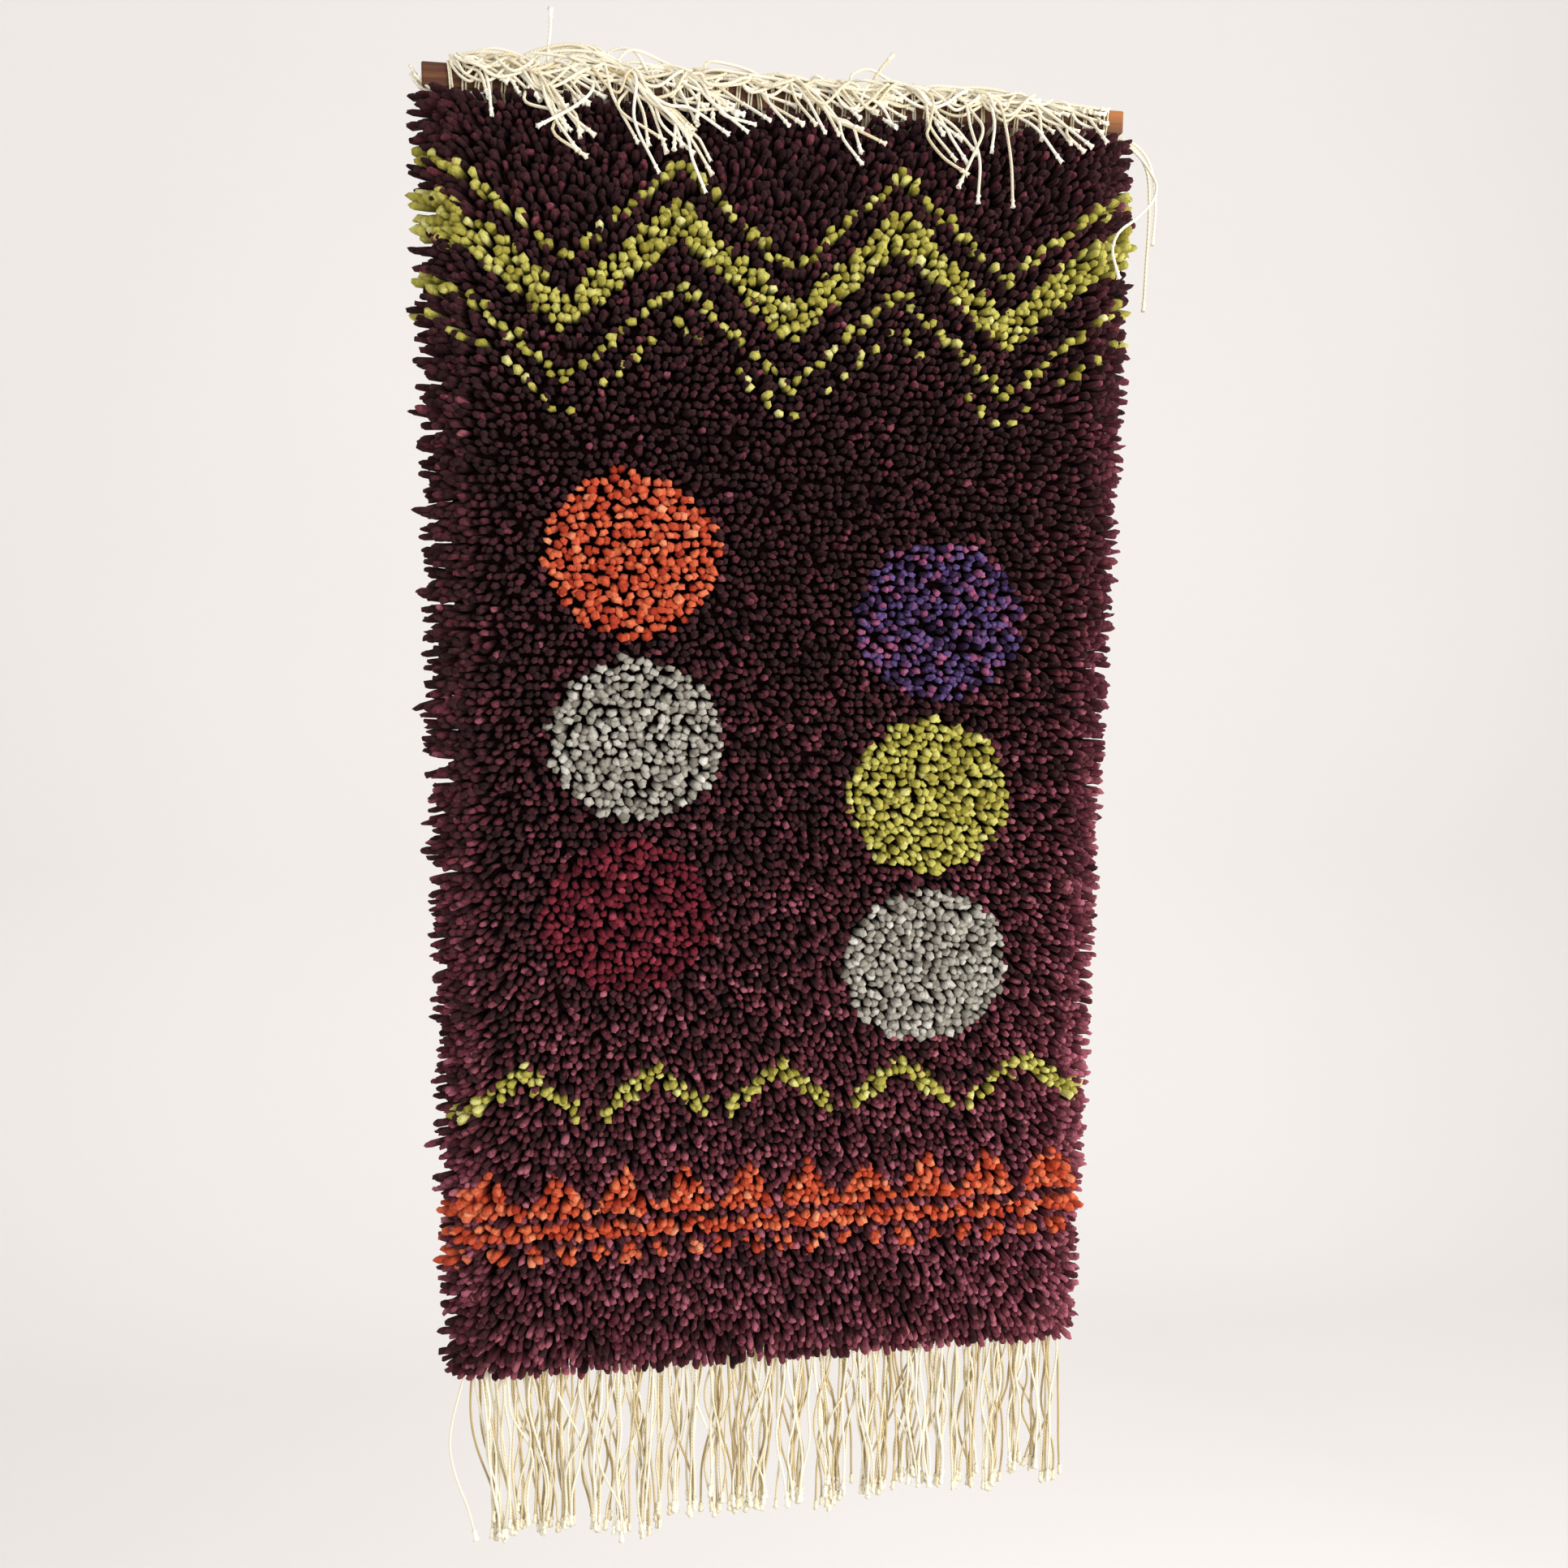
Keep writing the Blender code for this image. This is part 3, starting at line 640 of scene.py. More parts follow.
def fieldRoots(dice, rowCount):
    # Rows of knots all over the cloth
    columnCount = int(hang["wide"] / pile["column"])
    row, column = np.mgrid[0:rowCount, 0:columnCount]
    row, column = row.ravel(), column.ravel()
    count, share = len(row), row / (rowCount - 1)
    ragged = dice.uniform(-knots["rowShift"], knots["rowShift"], rowCount)
    shift = (row % 2 - 0.5) * knots["offset"] + ragged[row]
    across = (column + 0.5 + shift) / columnCount * 2 - 1
    x = across * halfWide(share) + dice.normal(0, knots["slipAcross"], count)
    z = rowHeight(share) + dice.normal(0, knots["slipDown"], count)
    toEdge = np.maximum(halfWide(share) - np.abs(x), 0.0)
    toHem = z - pile["bottom"]
    out = knots["edgeLean"] * np.exp(-toEdge / knots["edgeReach"])
    out += dice.normal(0, knots["outUneven"], count)
    out += knots["sway"] * smoothNoise(x, z, 0.035, 5)
    down = knots["hemLean"] * np.exp(-toHem / knots["hemReach"])
    down += dice.normal(0, knots["downUneven"], count)
    down += knots["sway"] * smoothNoise(x, z, 0.03, 8) + knots["sink"]
    down -= knots["topLift"] * np.clip(1 - share / knots["topShare"], 0, 1)
    deep = {"d": (0.0, knots["settle"]), "deep": (knots["deepAtTop"], knots["deep"])}
    long = tableAt(deep, "d", pile["top"] - z, "deep")
    long += dice.normal(0, knots["deepUneven"], count)
    long += knots["deepSway"] * smoothNoise(x, z, 0.05, 3)
    side = np.where(x < 0, -1.0, 1.0)
    return np.stack([x, z, side, out, down, long, column, share], axis=1)


def edgeRoots(dice, rowCount):
    # More ends along both sides, spread like a fan, so that each row ends in a pointed lock
    found = []
    for row in range(rowCount):
        share = row / (rowCount - 1)
        z = rowHeight(share)
        for flank in edge["flanks"]:
            side = flank["side"]
            lock = dice.uniform(*edge["uneven"]) * (1 - flank["shrink"] * share) * flank["long"]
            if dice.random() < edge["longerShare"]:
                lock *= edge["longer"]
            if row == 0:
                lock *= edge["firstRow"]
            tilt = dice.normal(0, 5) + edge["tilt"]
            tilt += edge["hemTilt"] * max(0.0, (share - 0.95) / 0.05)
            tilt -= edge["topTilt"] * max(0.0, 1 - share / 0.2)
            for number, out in enumerate(edge["fan"]):
                inset = edge["inset"] + edge["step"] * number
                x = side * (halfWide(share) - inset + dice.normal(0, 0.0006))
                long = lock * (1 - edge["shorter"] * number) * dice.uniform(0.9, 1.03)
                found.append((x, z + dice.normal(0, 0.0019), side, out + dice.normal(0, 4),
                              tilt + dice.normal(0, 3), long, row % 2, share))
    return np.array(found)


def hemRoots(dice, rowCount):
    # More ends along the bottom, in a row for each angle of their fan
    found = []
    half = halfWide(1.0)
    for x in np.arange(-half + 0.002, half, pile["column"] * hem["pitch"]):
        droop = 1 + 0.16 * math.sin(x * 71) * math.sin(x * 23 + 1.0) + 0.05 * (x < -0.26)
        for number, down in enumerate(hem["fan"]):
            long = hem["long"] * droop * dice.uniform(*hem["uneven"])
            out = hem["edgeLean"] * math.exp(-(half - abs(x)) / hem["edgeReach"]) + dice.normal(0, 9)
            z = pile["bottom"] + 0.0015 + hem["step"] * number
            found.append((x + dice.normal(0, 0.0015), z, math.copysign(1.0, x), out,
                          down + dice.normal(0, 6), long, 1, 1.0))
    return np.array(found)


def paleness(dice, x, z, share, dye):
    # How far along its dye's ramp each end is
    count = len(x)
    # Painted light: the ends are painted paler low down and darker near the top
    low = eased(np.clip((share - 0.2) / 0.7, 0, 1))
    tone = light["base"] + light["lower"] * low
    tone += dice.normal(0, 1, count) * (light["spread"] + light["spreadLower"] * low)
    tone += light["patch"] * smoothNoise(x, z, 0.09, 11)
    # Painted light: paler still low down towards the right, and along the right edge
    tone += light["lowerRight"] * low * np.clip((x + 0.1) / 0.4, 0, 1)
    near = np.exp((x - hang["wide"] / 2) / light["edgeReach"])
    tone += light["litRightEdge"] * near * np.clip(0.3 + share * 2, 0, 1)
    # Random pale ends, more of them low down: that rise is painted light
    pale = dice.random(count) < light["paleShare"] + light["paleLitLower"] * share
    tone += np.where(pale, dice.uniform(*light["pale"], count), 0)
    dyed = light["dyed"] + dice.normal(0, light["dyedSpread"], count)
    return np.clip(np.where(dye == 0, tone, dyed), 0, 1)


def plantTufts():
    # Where every yarn end is rooted, how it leans, and its look
    dice = np.random.default_rng(21)
    rowCount = int((pile["top"] - pile["bottom"]) / pile["row"]) + 1
    planted = [make(dice, rowCount) for make in (fieldRoots, edgeRoots, hemRoots)]
    kind = np.repeat([0, 1, 2], [len(part) for part in planted])
    x, z, side, out, down, long, column, share = np.concatenate(planted).T
    count = len(x)
    inside = np.clip(x, -design["half"], design["half"])
    dye = dyeAt(inside, clothTop - z, column.astype(int))
    out, down = np.radians(out), np.radians(down)
    sideways = side * np.sin(out) * np.cos(down)
    point = np.where(side < 0, edge["leftPoint"], edge["rightPoint"]) * (kind == 1)
    thicker = np.where(kind == 1, edge["thicker"], 1.0)
    return {
        "root": np.stack([x, hang["front"] - forward(x, z), z], axis=1),
        "ahead": np.stack([sideways, -np.cos(out) * np.cos(down), -np.sin(down)], axis=1),
        "long": long,
        "point": point * (0.55 + 0.45 * np.sin(np.minimum(out, 1.5))),
        "kind": kind,
        "dye": dye,
        "tone": paleness(dice, x, z, share, dye),
        "share": share,
        "radius": pile["radius"] * dice.uniform(*pile["uneven"], count) * thicker,
        "oval": dice.uniform(*pile["oval"], count),
        "turn": dice.normal(0, pile["turn"], count),
        "dent": dice.normal(0, pile["dent"], (count, pile["sides"] * len(rings) + 1, 3)),
        "bend": dice.normal(0, pile["bend"], (count, 3)),
    }


def woolFinish(name, stops, rootShade):
    # Stops: a dye's colours from its darkest to its palest ends; rootShade: painted shade near the roots
    wool = Finish(name, Roughness=0.95, Specular_IOR_Level=0.05, Sheen_Weight=0.04)
    tone, reach = wool.attribute("tone"), wool.attribute("reach")
    fibres = wool.cloudy((1500.0, 260.0, 1500.0), detail=3.0, rough=0.6)
    patches = wool.cloudy((330.0, 120.0, 330.0), detail=2.0)
    pick = tone + (patches - 0.5) * 0.62 + (fibres - 0.5) * 0.4
    ends = wool.node("ValToRGB", {"stops": stops}, {0: pick})
    # Painted shade: each yarn end darkens towards its root, down to rootShade
    outOfShade = wool.ramped(reach, 0.3, 0.98)
    wool.painted(wool.mixed(0.25 + outOfShade ** 1.3 * 0.75, rootShade, ends))
    wool.feed(wool.shader.inputs["Roughness"], 0.82 + fibres * 0.16)
    wool.bumped(fibres + patches * 2.2, 0.9, 0.0013)
    return wool


# Each dye's rootShade is painted shade in the hollows between the tufts
recipes = {
    "plum": {"rootShade": "#381119", "stops": (
        (0.0, "#261416"), (0.26, "#3e2225"), (0.48, "#602b34"), (0.68, "#82424d"),
        (0.86, "#a05c68"), (1.0, "#b66675"))},
    "chartreuse": {"rootShade": "#4f4612", "stops": (
        (0.0, "#8f8434"), (0.35, "#b5ac4c"), (0.65, "#d3cc6c"), (1.0, "#ece9a2"))},
    "silver": {"rootShade": "#585040", "stops": (
        (0.0, "#7d776b"), (0.35, "#a39e92"), (0.65, "#c2beb2"), (1.0, "#e4e1d6"))},
    "orange": {"rootShade": "#6a160c", "stops": (
        (0.0, "#a2341e"), (0.35, "#cc5233"), (0.65, "#e4764e"), (1.0, "#f4a278"))},
    "violet": {"rootShade": "#180a1e", "stops": (
        (0.0, "#201326"), (0.22, "#33203f"), (0.34, "#47305a"), (0.46, "#5d4a82"),
        (0.53, "#6d5c94"), (0.6, "#7f4264"), (0.8, "#a05278"), (1.0, "#b56c8e"))},
    "crimson": {"rootShade": "#1d0509", "stops": (
        (0.0, "#42121a"), (0.35, "#651c28"), (0.65, "#852b38"), (1.0, "#a84454"))},
}


def makePile():
    shape = modelTuft()
    tufts = plantTufts()
    height = np.round(shape["points"][:, 2], 5)
    levels = np.unique(height)
    grown = levels / levels[-1]
    reach = height / levels[-1]
    centres = tufts["root"][:, None] + tufts["ahead"][:, None] * (
        tufts["long"][:, None] * grown[None])[..., None]
    centres = centres + tufts["bend"][:, None] * (grown ** 2)[None, :, None]
    wide = np.array([pile["thick"][name] for name in dyes])[tufts["dye"]] * tufts["radius"]
    across = wide[:, None] * (1 - tufts["point"][:, None] * (grown ** 2.4)[None])
    oval = tufts["oval"][:, None]
    thick = np.stack([across / oval ** 0.7, across * oval], axis=2)
    points = bendAlong(shape, centres, thick, tufts["turn"])
    points += tufts["dent"] * (wide[:, None] * reach[None])[..., None]
    pieces = []
    regions = (("pileUpper", 0.0, 0.34), ("pileMiddle", 0.34, 0.68), ("pileLower", 0.68, 1.01))
    for number, name in enumerate(dyes):
        finish = woolFinish(name + " wool", **recipes[name])
        spans = regions if name == "plum" else (("pile" + name.capitalize(), 0.0, 1.01),)
        for title, above, below in spans:
            chosen = (tufts["dye"] == number) & (tufts["share"] >= above) & (tufts["share"] < below)
            values = {"tone": tufts["tone"][chosen][:, None], "reach": reach[None]}
            piece = joinCopies(title, shape, points[chosen], finish, values)
            pieces.append(settle(piece, "pile_wool", "pile"))
    print("pile planted:", len(points), "yarn ends")
    return tufts, pieces


# Ground: a warp rep cloth with the backs of the knots in rows

ground = {
    "columns": 36,
    "rows": 100,
    "cream": "#cfc5a6",
    "shade": "#9d9070",
    # dark: painted shade on the side of the cloth under the pile
    "dark": "#2c1216",
    # fibreShade: near-black mixed into the knot backs, painted shade between their fibres
    "fibreShade": "#0d0709",
    "rib": 0.004,
    "pick": 0.0022,
    "knotLong": 0.0058,
    "knotHigh": 0.003,
    "knotOut": 0.0012,
}


def makeGround():
    startPiece()
    bpy.ops.mesh.primitive_grid_add(
        x_subdivisions=ground["columns"], y_subdivisions=ground["rows"], size=2,
        rotation=(math.pi / 2, 0, 0))
    cloth = bpy.context.object
    bpy.ops.object.transform_apply(location=False, rotation=True, scale=False)
    mesh = cloth.data
    flat = np.array([corner.co for corner in mesh.vertices])
    z = clothBottom + (clothTop - clothBottom) * (flat[:, 2] + 1) / 2
    side = np.sign(flat[:, 0])
    fade = np.sin(math.pi * (clothTop - z) / (clothTop - clothBottom))
    wander = hang["wander"] * np.sin(z * 11.0 + side) * np.sin(z * 4.3 + 2 * side) * fade
    x = flat[:, 0] * (hang["wide"] / 2 + wander)
    y = hang["front"] - forward(x, z) + 0.0003 * smoothNoise(x, z, 0.11, 2)
    fill(mesh.vertices, "co", np.stack([x, y, z], axis=1))
    mesh.update()
    wall = cloth.modifiers.new("thickness", "SOLIDIFY")
    wall.thickness = hang["thick"]
    wall.offset = -1.0
    bpy.ops.object.modifier_apply(modifier=wall.name)
    editing()
    doneEditing()
    bpy.ops.object.shade_smooth_by_angle(angle=math.radians(40))
    cloth.name = "groundWeave"
    # The faces on the side under the pile, to be painted dark as painted shade
    normals = np.array([face.normal.y for face in cloth.data.polygons])
    layer = cloth.data.attributes.new("front", "FLOAT", "FACE")
    fill(layer.data, "value", normals < -0.5)
    weave = weaveFinish("ground weave")
    cloth.data.materials.append(weave.material)
    return settle(cloth, "ground_cloth", "ground_weave")


def weaveFinish(name):
    # Close warp ribs crossed by the weft; the side under the pile is painted dark all over, painted shade
    # under the pile
    weave = Finish(name, Roughness=0.95, Specular_IOR_Level=0.15, Sheen_Weight=0.1)
    ribs = weave.sine(weave.placeAlong(0) * (math.tau / ground["rib"]))
    picks = weave.sine(weave.placeAlong(2) * (math.tau / ground["pick"]))
    uneven = weave.cloudy((240.0, 240.0, 60.0), detail=3.0)
    soft = weave.cloudy((14.0, 14.0, 9.0), detail=2.0)
    height = ribs * 0.35 + ribs * picks * 0.3 + uneven * 0.8
    # The ribs and picks also shift the colour in fine stripes, paler on the crests and darker in the
    # grooves: painted shade in the weave's grooves
    tint = uneven * 0.55 + soft * 0.35 + ribs * 0.06 + picks * 0.05
    cloth = weave.mixed(tint, ground["shade"], ground["cream"])
    # Painted shade: the side under the pile takes the dark colour, whatever dye the pile above it has
    weave.painted(weave.mixed(weave.attribute("front"), cloth, ground["dark"]))
    weave.bumped(height, 0.6, 0.0008)
    return weave


def modelKnotBack():
    # The loop of one knot on the back of the cloth, a small flat pillow
    startPiece()
    bpy.ops.mesh.primitive_plane_add(size=1)
    editing()
    bpy.ops.transform.resize(value=(0.9, 0.8, 1))
    pushOut((0, 0, 1.0), (0.75, 0.62, 1))
    return takeShape(doneEditing())


def makeKnotBacks(tufts):
    shape = modelKnotBack()
    dice = np.random.default_rng(31)
    tied = tufts["kind"] == 0
    count = tied.sum()
    spots = tufts["root"][tied]
    dye, tone = tufts["dye"][tied], tufts["tone"][tied]
    spots[:, 1] += hang["thick"] - 0.0002
    spots[:, 2] += dice.normal(0, 0.0003, count)
    size = np.stack([
        np.full(count, ground["knotLong"]) * dice.uniform(0.85, 1.12, count),
        np.full(count, ground["knotHigh"]) * dice.uniform(0.85, 1.15, count),
        np.full(count, ground["knotOut"]) * dice.uniform(0.8, 1.2, count)], axis=1)
    ahead = np.tile([0.0, 1.0, 0.0], (count, 1))
    lean = dice.normal(0, 0.1, count)
    first = np.stack([np.cos(lean), np.zeros(count), np.sin(lean)], axis=1)
    points = placeCopies(shape, spots, ahead, first, size)
    # Each knot's back takes its yarn end's colour, painted light of the tone included
    colours = np.zeros((count, 4))
    for number, name in enumerate(dyes):
        chosen = dye == number
        places, codes = zip(*recipes[name]["stops"])
        linear = np.array([paint(code) for code in codes])
        for channel in range(4):
            colours[chosen, channel] = np.interp(tone[chosen], places, linear[:, channel])
    wool = Finish("knot backs", Roughness=0.92, Specular_IOR_Level=0.2, Sheen_Weight=0.1)
    fibres = wool.cloudy((400.0, 1500.0, 1800.0), detail=3.0, rough=0.6)
    dyed = wool.node("Attribute", {"attribute_name": "dyed"}, out=0)
    # Painted shade: near-black mottling between the fibres of the knot backs
    wool.painted(wool.mixed(fibres * 0.55, dyed, ground["fibreShade"]))
    wool.bumped(fibres, 0.5, 0.0006)
    piece = joinCopies("knotBacks", shape, points, wool, colours=colours)
    return settle(piece, "pile_wool", "pile")


# Warp threads: one length of thread and one knotted end, modelled once and bent along paths

thread = {
    "sides": 5,
    "plies": 3.0,
    "twist": 2.6,
    "cream": "#e9dfc3",
    "beige": "#c6b180",
    "strand": "#9c8450",
    "pale": "#f8f2e0",
}


def modelThread(steps):
    # Unit thread along +z with a section for each step
    startPiece()
    bpy.ops.mesh.primitive_circle_add(vertices=thread["sides"], radius=1, fill_type="NGON")
    editing()
    for _ in range(steps):
        bpy.ops.mesh.extrude_region_move(TRANSFORM_OT_translate={"value": (0, 0, 1 / steps)})
    return takeShape(doneEditing())


def modelThreadEnd():
    # A knot, and past it the cut end opening like a small brush, along +z in thread radii
    startPiece()
    bpy.ops.mesh.primitive_torus_add(
        major_radius=0.95, minor_radius=0.62, major_segments=7, minor_segments=4,
        rotation=(math.radians(24), math.radians(12), 0), location=(0, 0, 0.3))
    knot = bpy.context.object
    applyPlace()
    startPiece()
    bpy.ops.mesh.primitive_circle_add(
        vertices=7, radius=1.0, fill_type="NGON", location=(0, 0, -1.2))
    brush = bpy.context.object
    applyPlace()
    editing()
    pushOut((0, 0, 2.2), (0.92, 0.92, 1))
    pushOut((0, 0, 1.9), (1.25, 1.2, 1))
    pushOut((0, 0, 1.6), (1.45, 1.35, 1))
    bpy.ops.mesh.inset(thickness=0.55)
    bpy.ops.transform.translate(value=(0, 0, -0.6))
    doneEditing()
    rim = [corner for corner in brush.data.vertices if corner.co.z > 4.2]
    for number, corner in enumerate(rim):
        corner.co.z += 0.55 * math.sin(number * 2.6)
        corner.co.xy *= 1.0 + 0.16 * math.sin(number * 4.1)
    knot.select_set(True)
    bpy.ops.object.join()
    return takeShape(bpy.context.object)


def threadUvs(shape, centres):
    # Round the thread across, and centimetres of its length upwards
    steps = np.linalg.norm(np.diff(centres, axis=1), axis=2) * 100
    length = np.concatenate([np.zeros((len(centres), 1)), np.cumsum(steps, axis=1)], axis=1)
    points = shape["points"]
    level = np.round(points[:, 2] * (centres.shape[1] - 1)).astype(int)
    around = (np.arctan2(points[:, 1], points[:, 0]) / math.tau) % 1.0
    indices = np.concatenate([np.array(face) for face in shape["faces"]])
    u = around[indices].copy()
    start = 0
    for face in shape["faces"]:
        corners = u[start:start + len(face)]
        if len(face) == 4 and corners.max() - corners.min() > 0.5:
            corners[corners < 0.5] += 1.0
        start += len(face)
    v = length[:, level[indices]]
    return np.stack([np.broadcast_to(u, v.shape), v], axis=2)


def cottonFinish():
    cotton = Finish("warp cotton", Roughness=0.9, Specular_IOR_Level=0.2, Sheen_Weight=0.15)
    tone = cotton.attribute("tone")
    uv = cotton.node("UVMap")
    around = cotton.node("SeparateXYZ", None, {0: uv}, out=0)
    along = cotton.node("SeparateXYZ", None, {0: uv}, out=1)
    plies = cotton.sine((around * thread["plies"] + along * thread["twist"]) * math.tau)
    fibres = cotton.cloudy((1300.0, 1300.0, 1300.0), detail=3.0, rough=0.6)
    patches = cotton.cloudy((70.0, 70.0, 70.0), detail=2.0)
    stops = (
        (0.0, thread["strand"]), (0.35, thread["beige"]), (0.7, thread["cream"]), (1.0, thread["pale"]))
    # The ply twist also makes the colour paler on the plies' crests and darker in the grooves between
    # them: painted shade in those grooves
    pick = tone + plies * 0.1 + (patches - 0.5) * 0.25 + (fibres - 0.5) * 0.12
    cotton.painted(cotton.node("ValToRGB", {"stops": stops}, {0: pick}))
    cotton.bumped(plies * 0.6 + fibres * 0.5, 0.5, 0.0005)
    return cotton


def smoothPath(points, steps):
    # A smooth curve through the given points, cut into even steps
    p = np.array(points, float)
    p = np.vstack([2 * p[0] - p[1], p, 2 * p[-1] - p[-2]])
    dense = []
    for a, b, c, d in zip(p, p[1:], p[2:], p[3:]):
        for t in np.linspace(0, 1, 12, endpoint=False):
            dense.append(0.5 * (2 * b + (c - a) * t + (2 * a - 5 * b + 4 * c - d) * t ** 2
                                + (3 * b - a - 3 * c + d) * t ** 3))
    dense = np.array(dense + [p[-2]])
    length = np.concatenate([[0], np.cumsum(np.linalg.norm(np.diff(dense, axis=0), axis=1))])
    at = np.linspace(0, length[-1], steps + 1)
    return np.stack([np.interp(at, length, dense[:, k]) for k in range(3)], axis=1)


def makeThreads(name, paths, tones, finish, node, radius, ends=1.08):
    # Threads along their paths; each knotted end is placed past its path's last point
    steps = len(paths[0]) - 1
    shape = modelThread(steps)
    centres = np.array(paths)
    points = bendAlong(shape, centres, np.full((1, 1, 2), radius))
    uvs = threadUvs(shape, centres)
    piece = joinCopies(name, shape, points, finish, {"tone": tones[:, None]}, uvs=uvs)
    settle(piece, "warp_cotton", node)
    if ends == 0:
        return [piece]
    shape = modelThreadEnd()
    ahead, first, second = courses(centres)
    dice = np.random.default_rng(len(paths))
    size = np.tile(dice.uniform(0.85, 1.15, (len(paths), 1)), (1, 3)) * radius * ends
    turn = dice.uniform(0, math.tau, len(paths))[:, None]
    across = first[:, -1] * np.cos(turn) + second[:, -1] * np.sin(turn)
    spots = placeCopies(shape, centres[:, -1], ahead[:, -1], across, size)
    paler = np.maximum(tones, 0.5)[:, None] + 0.15
    tips = joinCopies(name + "Ends", shape, spots, finish, {"tone": paler})
    return [piece, settle(tips, "warp_cotton", node)]


# Loops round the batten, the heading that they grow from, and the loose corner threads

loops = {
    "pairs": 56,
    "apart": 0.0021,
    "radius": 0.00095,
    "stand": 0.0011,
    "steps": 22,
    "cuts": 60,
}


def loopPath(x, lean, dice):
    # Up the batten's front, over it and down its back, into the heading at both ends
    out = loops["stand"]
    low, high = battenLow.z, battenHigh.z
    front, back = battenLow.y - out, battenHigh.y + out
    foot = clothTop - 0.0035
    route = (
        (x, -0.0062, foot),
        (x, -0.0075, foot + 0.0055),
        (x + lean * 0.1, front + 0.0002, low + 0.001),
        (x + lean * 0.5, front, 0.0),
        (x + lean * 0.9, front, high - 0.0012),
        (x + lean, front + 0.0016, high + out * 0.9),
        (x + lean, -0.005, high + out),
        (x + lean * 0.9, back - 0.0016, high + out * 0.9),
        (x + lean * 0.7, back, high - 0.0012),
        (x + lean * 0.4, back, 0.0),
        (x, back - 0.0003, low + 0.001),
        (x, -0.0028, foot + 0.0055),
        (x, -0.0038, foot),
    )
    return smoothPath([np.array(p) + dice.normal(0, 0.00015, 3) for p in route], loops["steps"])


def makeLoops(cotton):
    dice = np.random.default_rng(5)
    paths = []
    pitch = hang["wide"] / loops["pairs"]
    for pair in range(loops["pairs"]):
        middle = -hang["wide"] / 2 + pitch * (pair + 0.5) + dice.normal(0, 0.0007)
        lean = dice.normal(0, 0.0016)
        for side in (-0.5, 0.5):
            spread = side * loops["apart"] * dice.uniform(0.9, 1.3)
            paths.append(loopPath(middle + spread, lean + dice.normal(0, 0.0004), dice))
    tones = dice.uniform(0.35, 0.75, len(paths))
    makeThreads("warpLoops", paths, tones, cotton, "warp_loops", loops["radius"], ends=0)


def makeHeading():
    # The narrow woven strip above the first row of knots
    low = Vector((-hang["wide"] / 2, hang["front"], clothTop - 0.001))
    high = Vector((hang["wide"] / 2, hang["front"] + hang["thick"], battenLow.z - 0.0012))
    startPiece()
    bpy.ops.mesh.primitive_cube_add(size=1, location=(low + high) / 2, scale=high - low)
    strip = bpy.context.object
    applyPlace()
    editing()
    bpy.ops.mesh.bevel(offset=0.0009, segments=2, affect="EDGES")
    for cut in range(1, loops["cuts"]):
        bpy.ops.mesh.select_all(action="SELECT")
        place = low.x + (high.x - low.x) * cut / loops["cuts"]
        bpy.ops.mesh.bisect(plane_co=(place, 0, 0), plane_no=(1, 0, 0))
    doneEditing()
    for corner in strip.data.vertices:
        x, top = corner.co.x, (corner.co.z - low.z) / (high.z - low.z)
        corner.co.z += 0.0006 * math.sin(x * 190) * top + 0.0004 * math.sin(x * 610) * top
        corner.co.y += 0.0005 * math.sin(x * 130 + 1.0)
    bpy.ops.object.shade_smooth_by_angle(angle=math.radians(50))
    strip.name = "heading"
    weave = weaveFinish("heading weave")
    strip.data.materials.append(weave.material)
    return settle(strip, "warp_cotton", "warp_loops")


looseThreads = (  # warp ends that missed the batten, from the heading's ends outwards
    ((0.295, -0.005, -0.0135), (0.315, -0.005, -0.0135), (0.333, -0.005, -0.0225),
     (0.344, -0.005, -0.04), (0.349, -0.0055, -0.07), (0.348, -0.006, -0.1)),
    ((0.294, -0.007, -0.015), (0.314, -0.0062, -0.015), (0.33, -0.0064, -0.027),
     (0.34, -0.0064, -0.046), (0.343, -0.006, -0.08), (0.3425, -0.006, -0.12),
     (0.3418, -0.006, -0.16)),
    ((0.295, -0.0052, -0.017), (0.314, -0.0062, -0.018), (0.328, -0.01, -0.029),
     (0.337, -0.018, -0.045), (0.339, -0.03, -0.061), (0.329, -0.045, -0.079),
     (0.312, -0.0475, -0.096), (0.298, -0.0475, -0.107), (0.2925, -0.047, -0.123),
     (0.298, -0.0465, -0.141)),
    ((-0.296, -0.0045, -0.013), (-0.308, -0.003, -0.015), (-0.32, -0.002, -0.008),
     (-0.326, -0.002, 0.001)),
    ((-0.296, -0.006, -0.015), (-0.306, -0.008, -0.019), (-0.314, -0.009, -0.012),
     (-0.323, -0.007, -0.004)),
    ((-0.296, -0.005, -0.014), (-0.31, -0.004, -0.017), (-0.322, -0.006, -0.011),
     (-0.326, -0.004, -0.005)),
    ((-0.296, -0.004, -0.0125), (-0.309, -0.002, -0.012), (-0.323, -0.001, -0.006),
     (-0.328, -0.002, 0.003)),
)


def makeLooseThreads(cotton):
    paths = [smoothPath(route, 26) for route in looseThreads]
    tones = np.array([0.8, 0.65, 0.9, 0.8, 0.7, 0.85, 0.9])
    makeThreads("looseThreads", paths, tones, cotton, "warp_loops", 0.00135)


# Warp ends thrown over the batten: bunches that sweep to the right and fall down the front

tangle = {
    "radius": 0.00145,
    "steps": 30,
    "left": -0.297,
    "right": 0.293,
    "deep": 0.0065,
    "arches": 58,
    "archSpan": 0.51,
    "stray": 34,
    "straySpan": 0.545,
    "busyTo": 0.03,
    "alongLeft": 0.3,
    "alongRight": 0.75,
}
# How far forward a thread lies at each height, as it comes over the batten and onto the pile
lie = {
    "z": (-0.1, -0.065, -0.05, -0.035, -0.024, -0.015, -0.008, 0.006, 0.0115, 0.0155, 0.026),
    "y": (-0.0385, -0.038, -0.0355, -0.032, -0.0285, -0.0225, -0.0155, -0.014, -0.011, -0.0065, -0.0035),
}
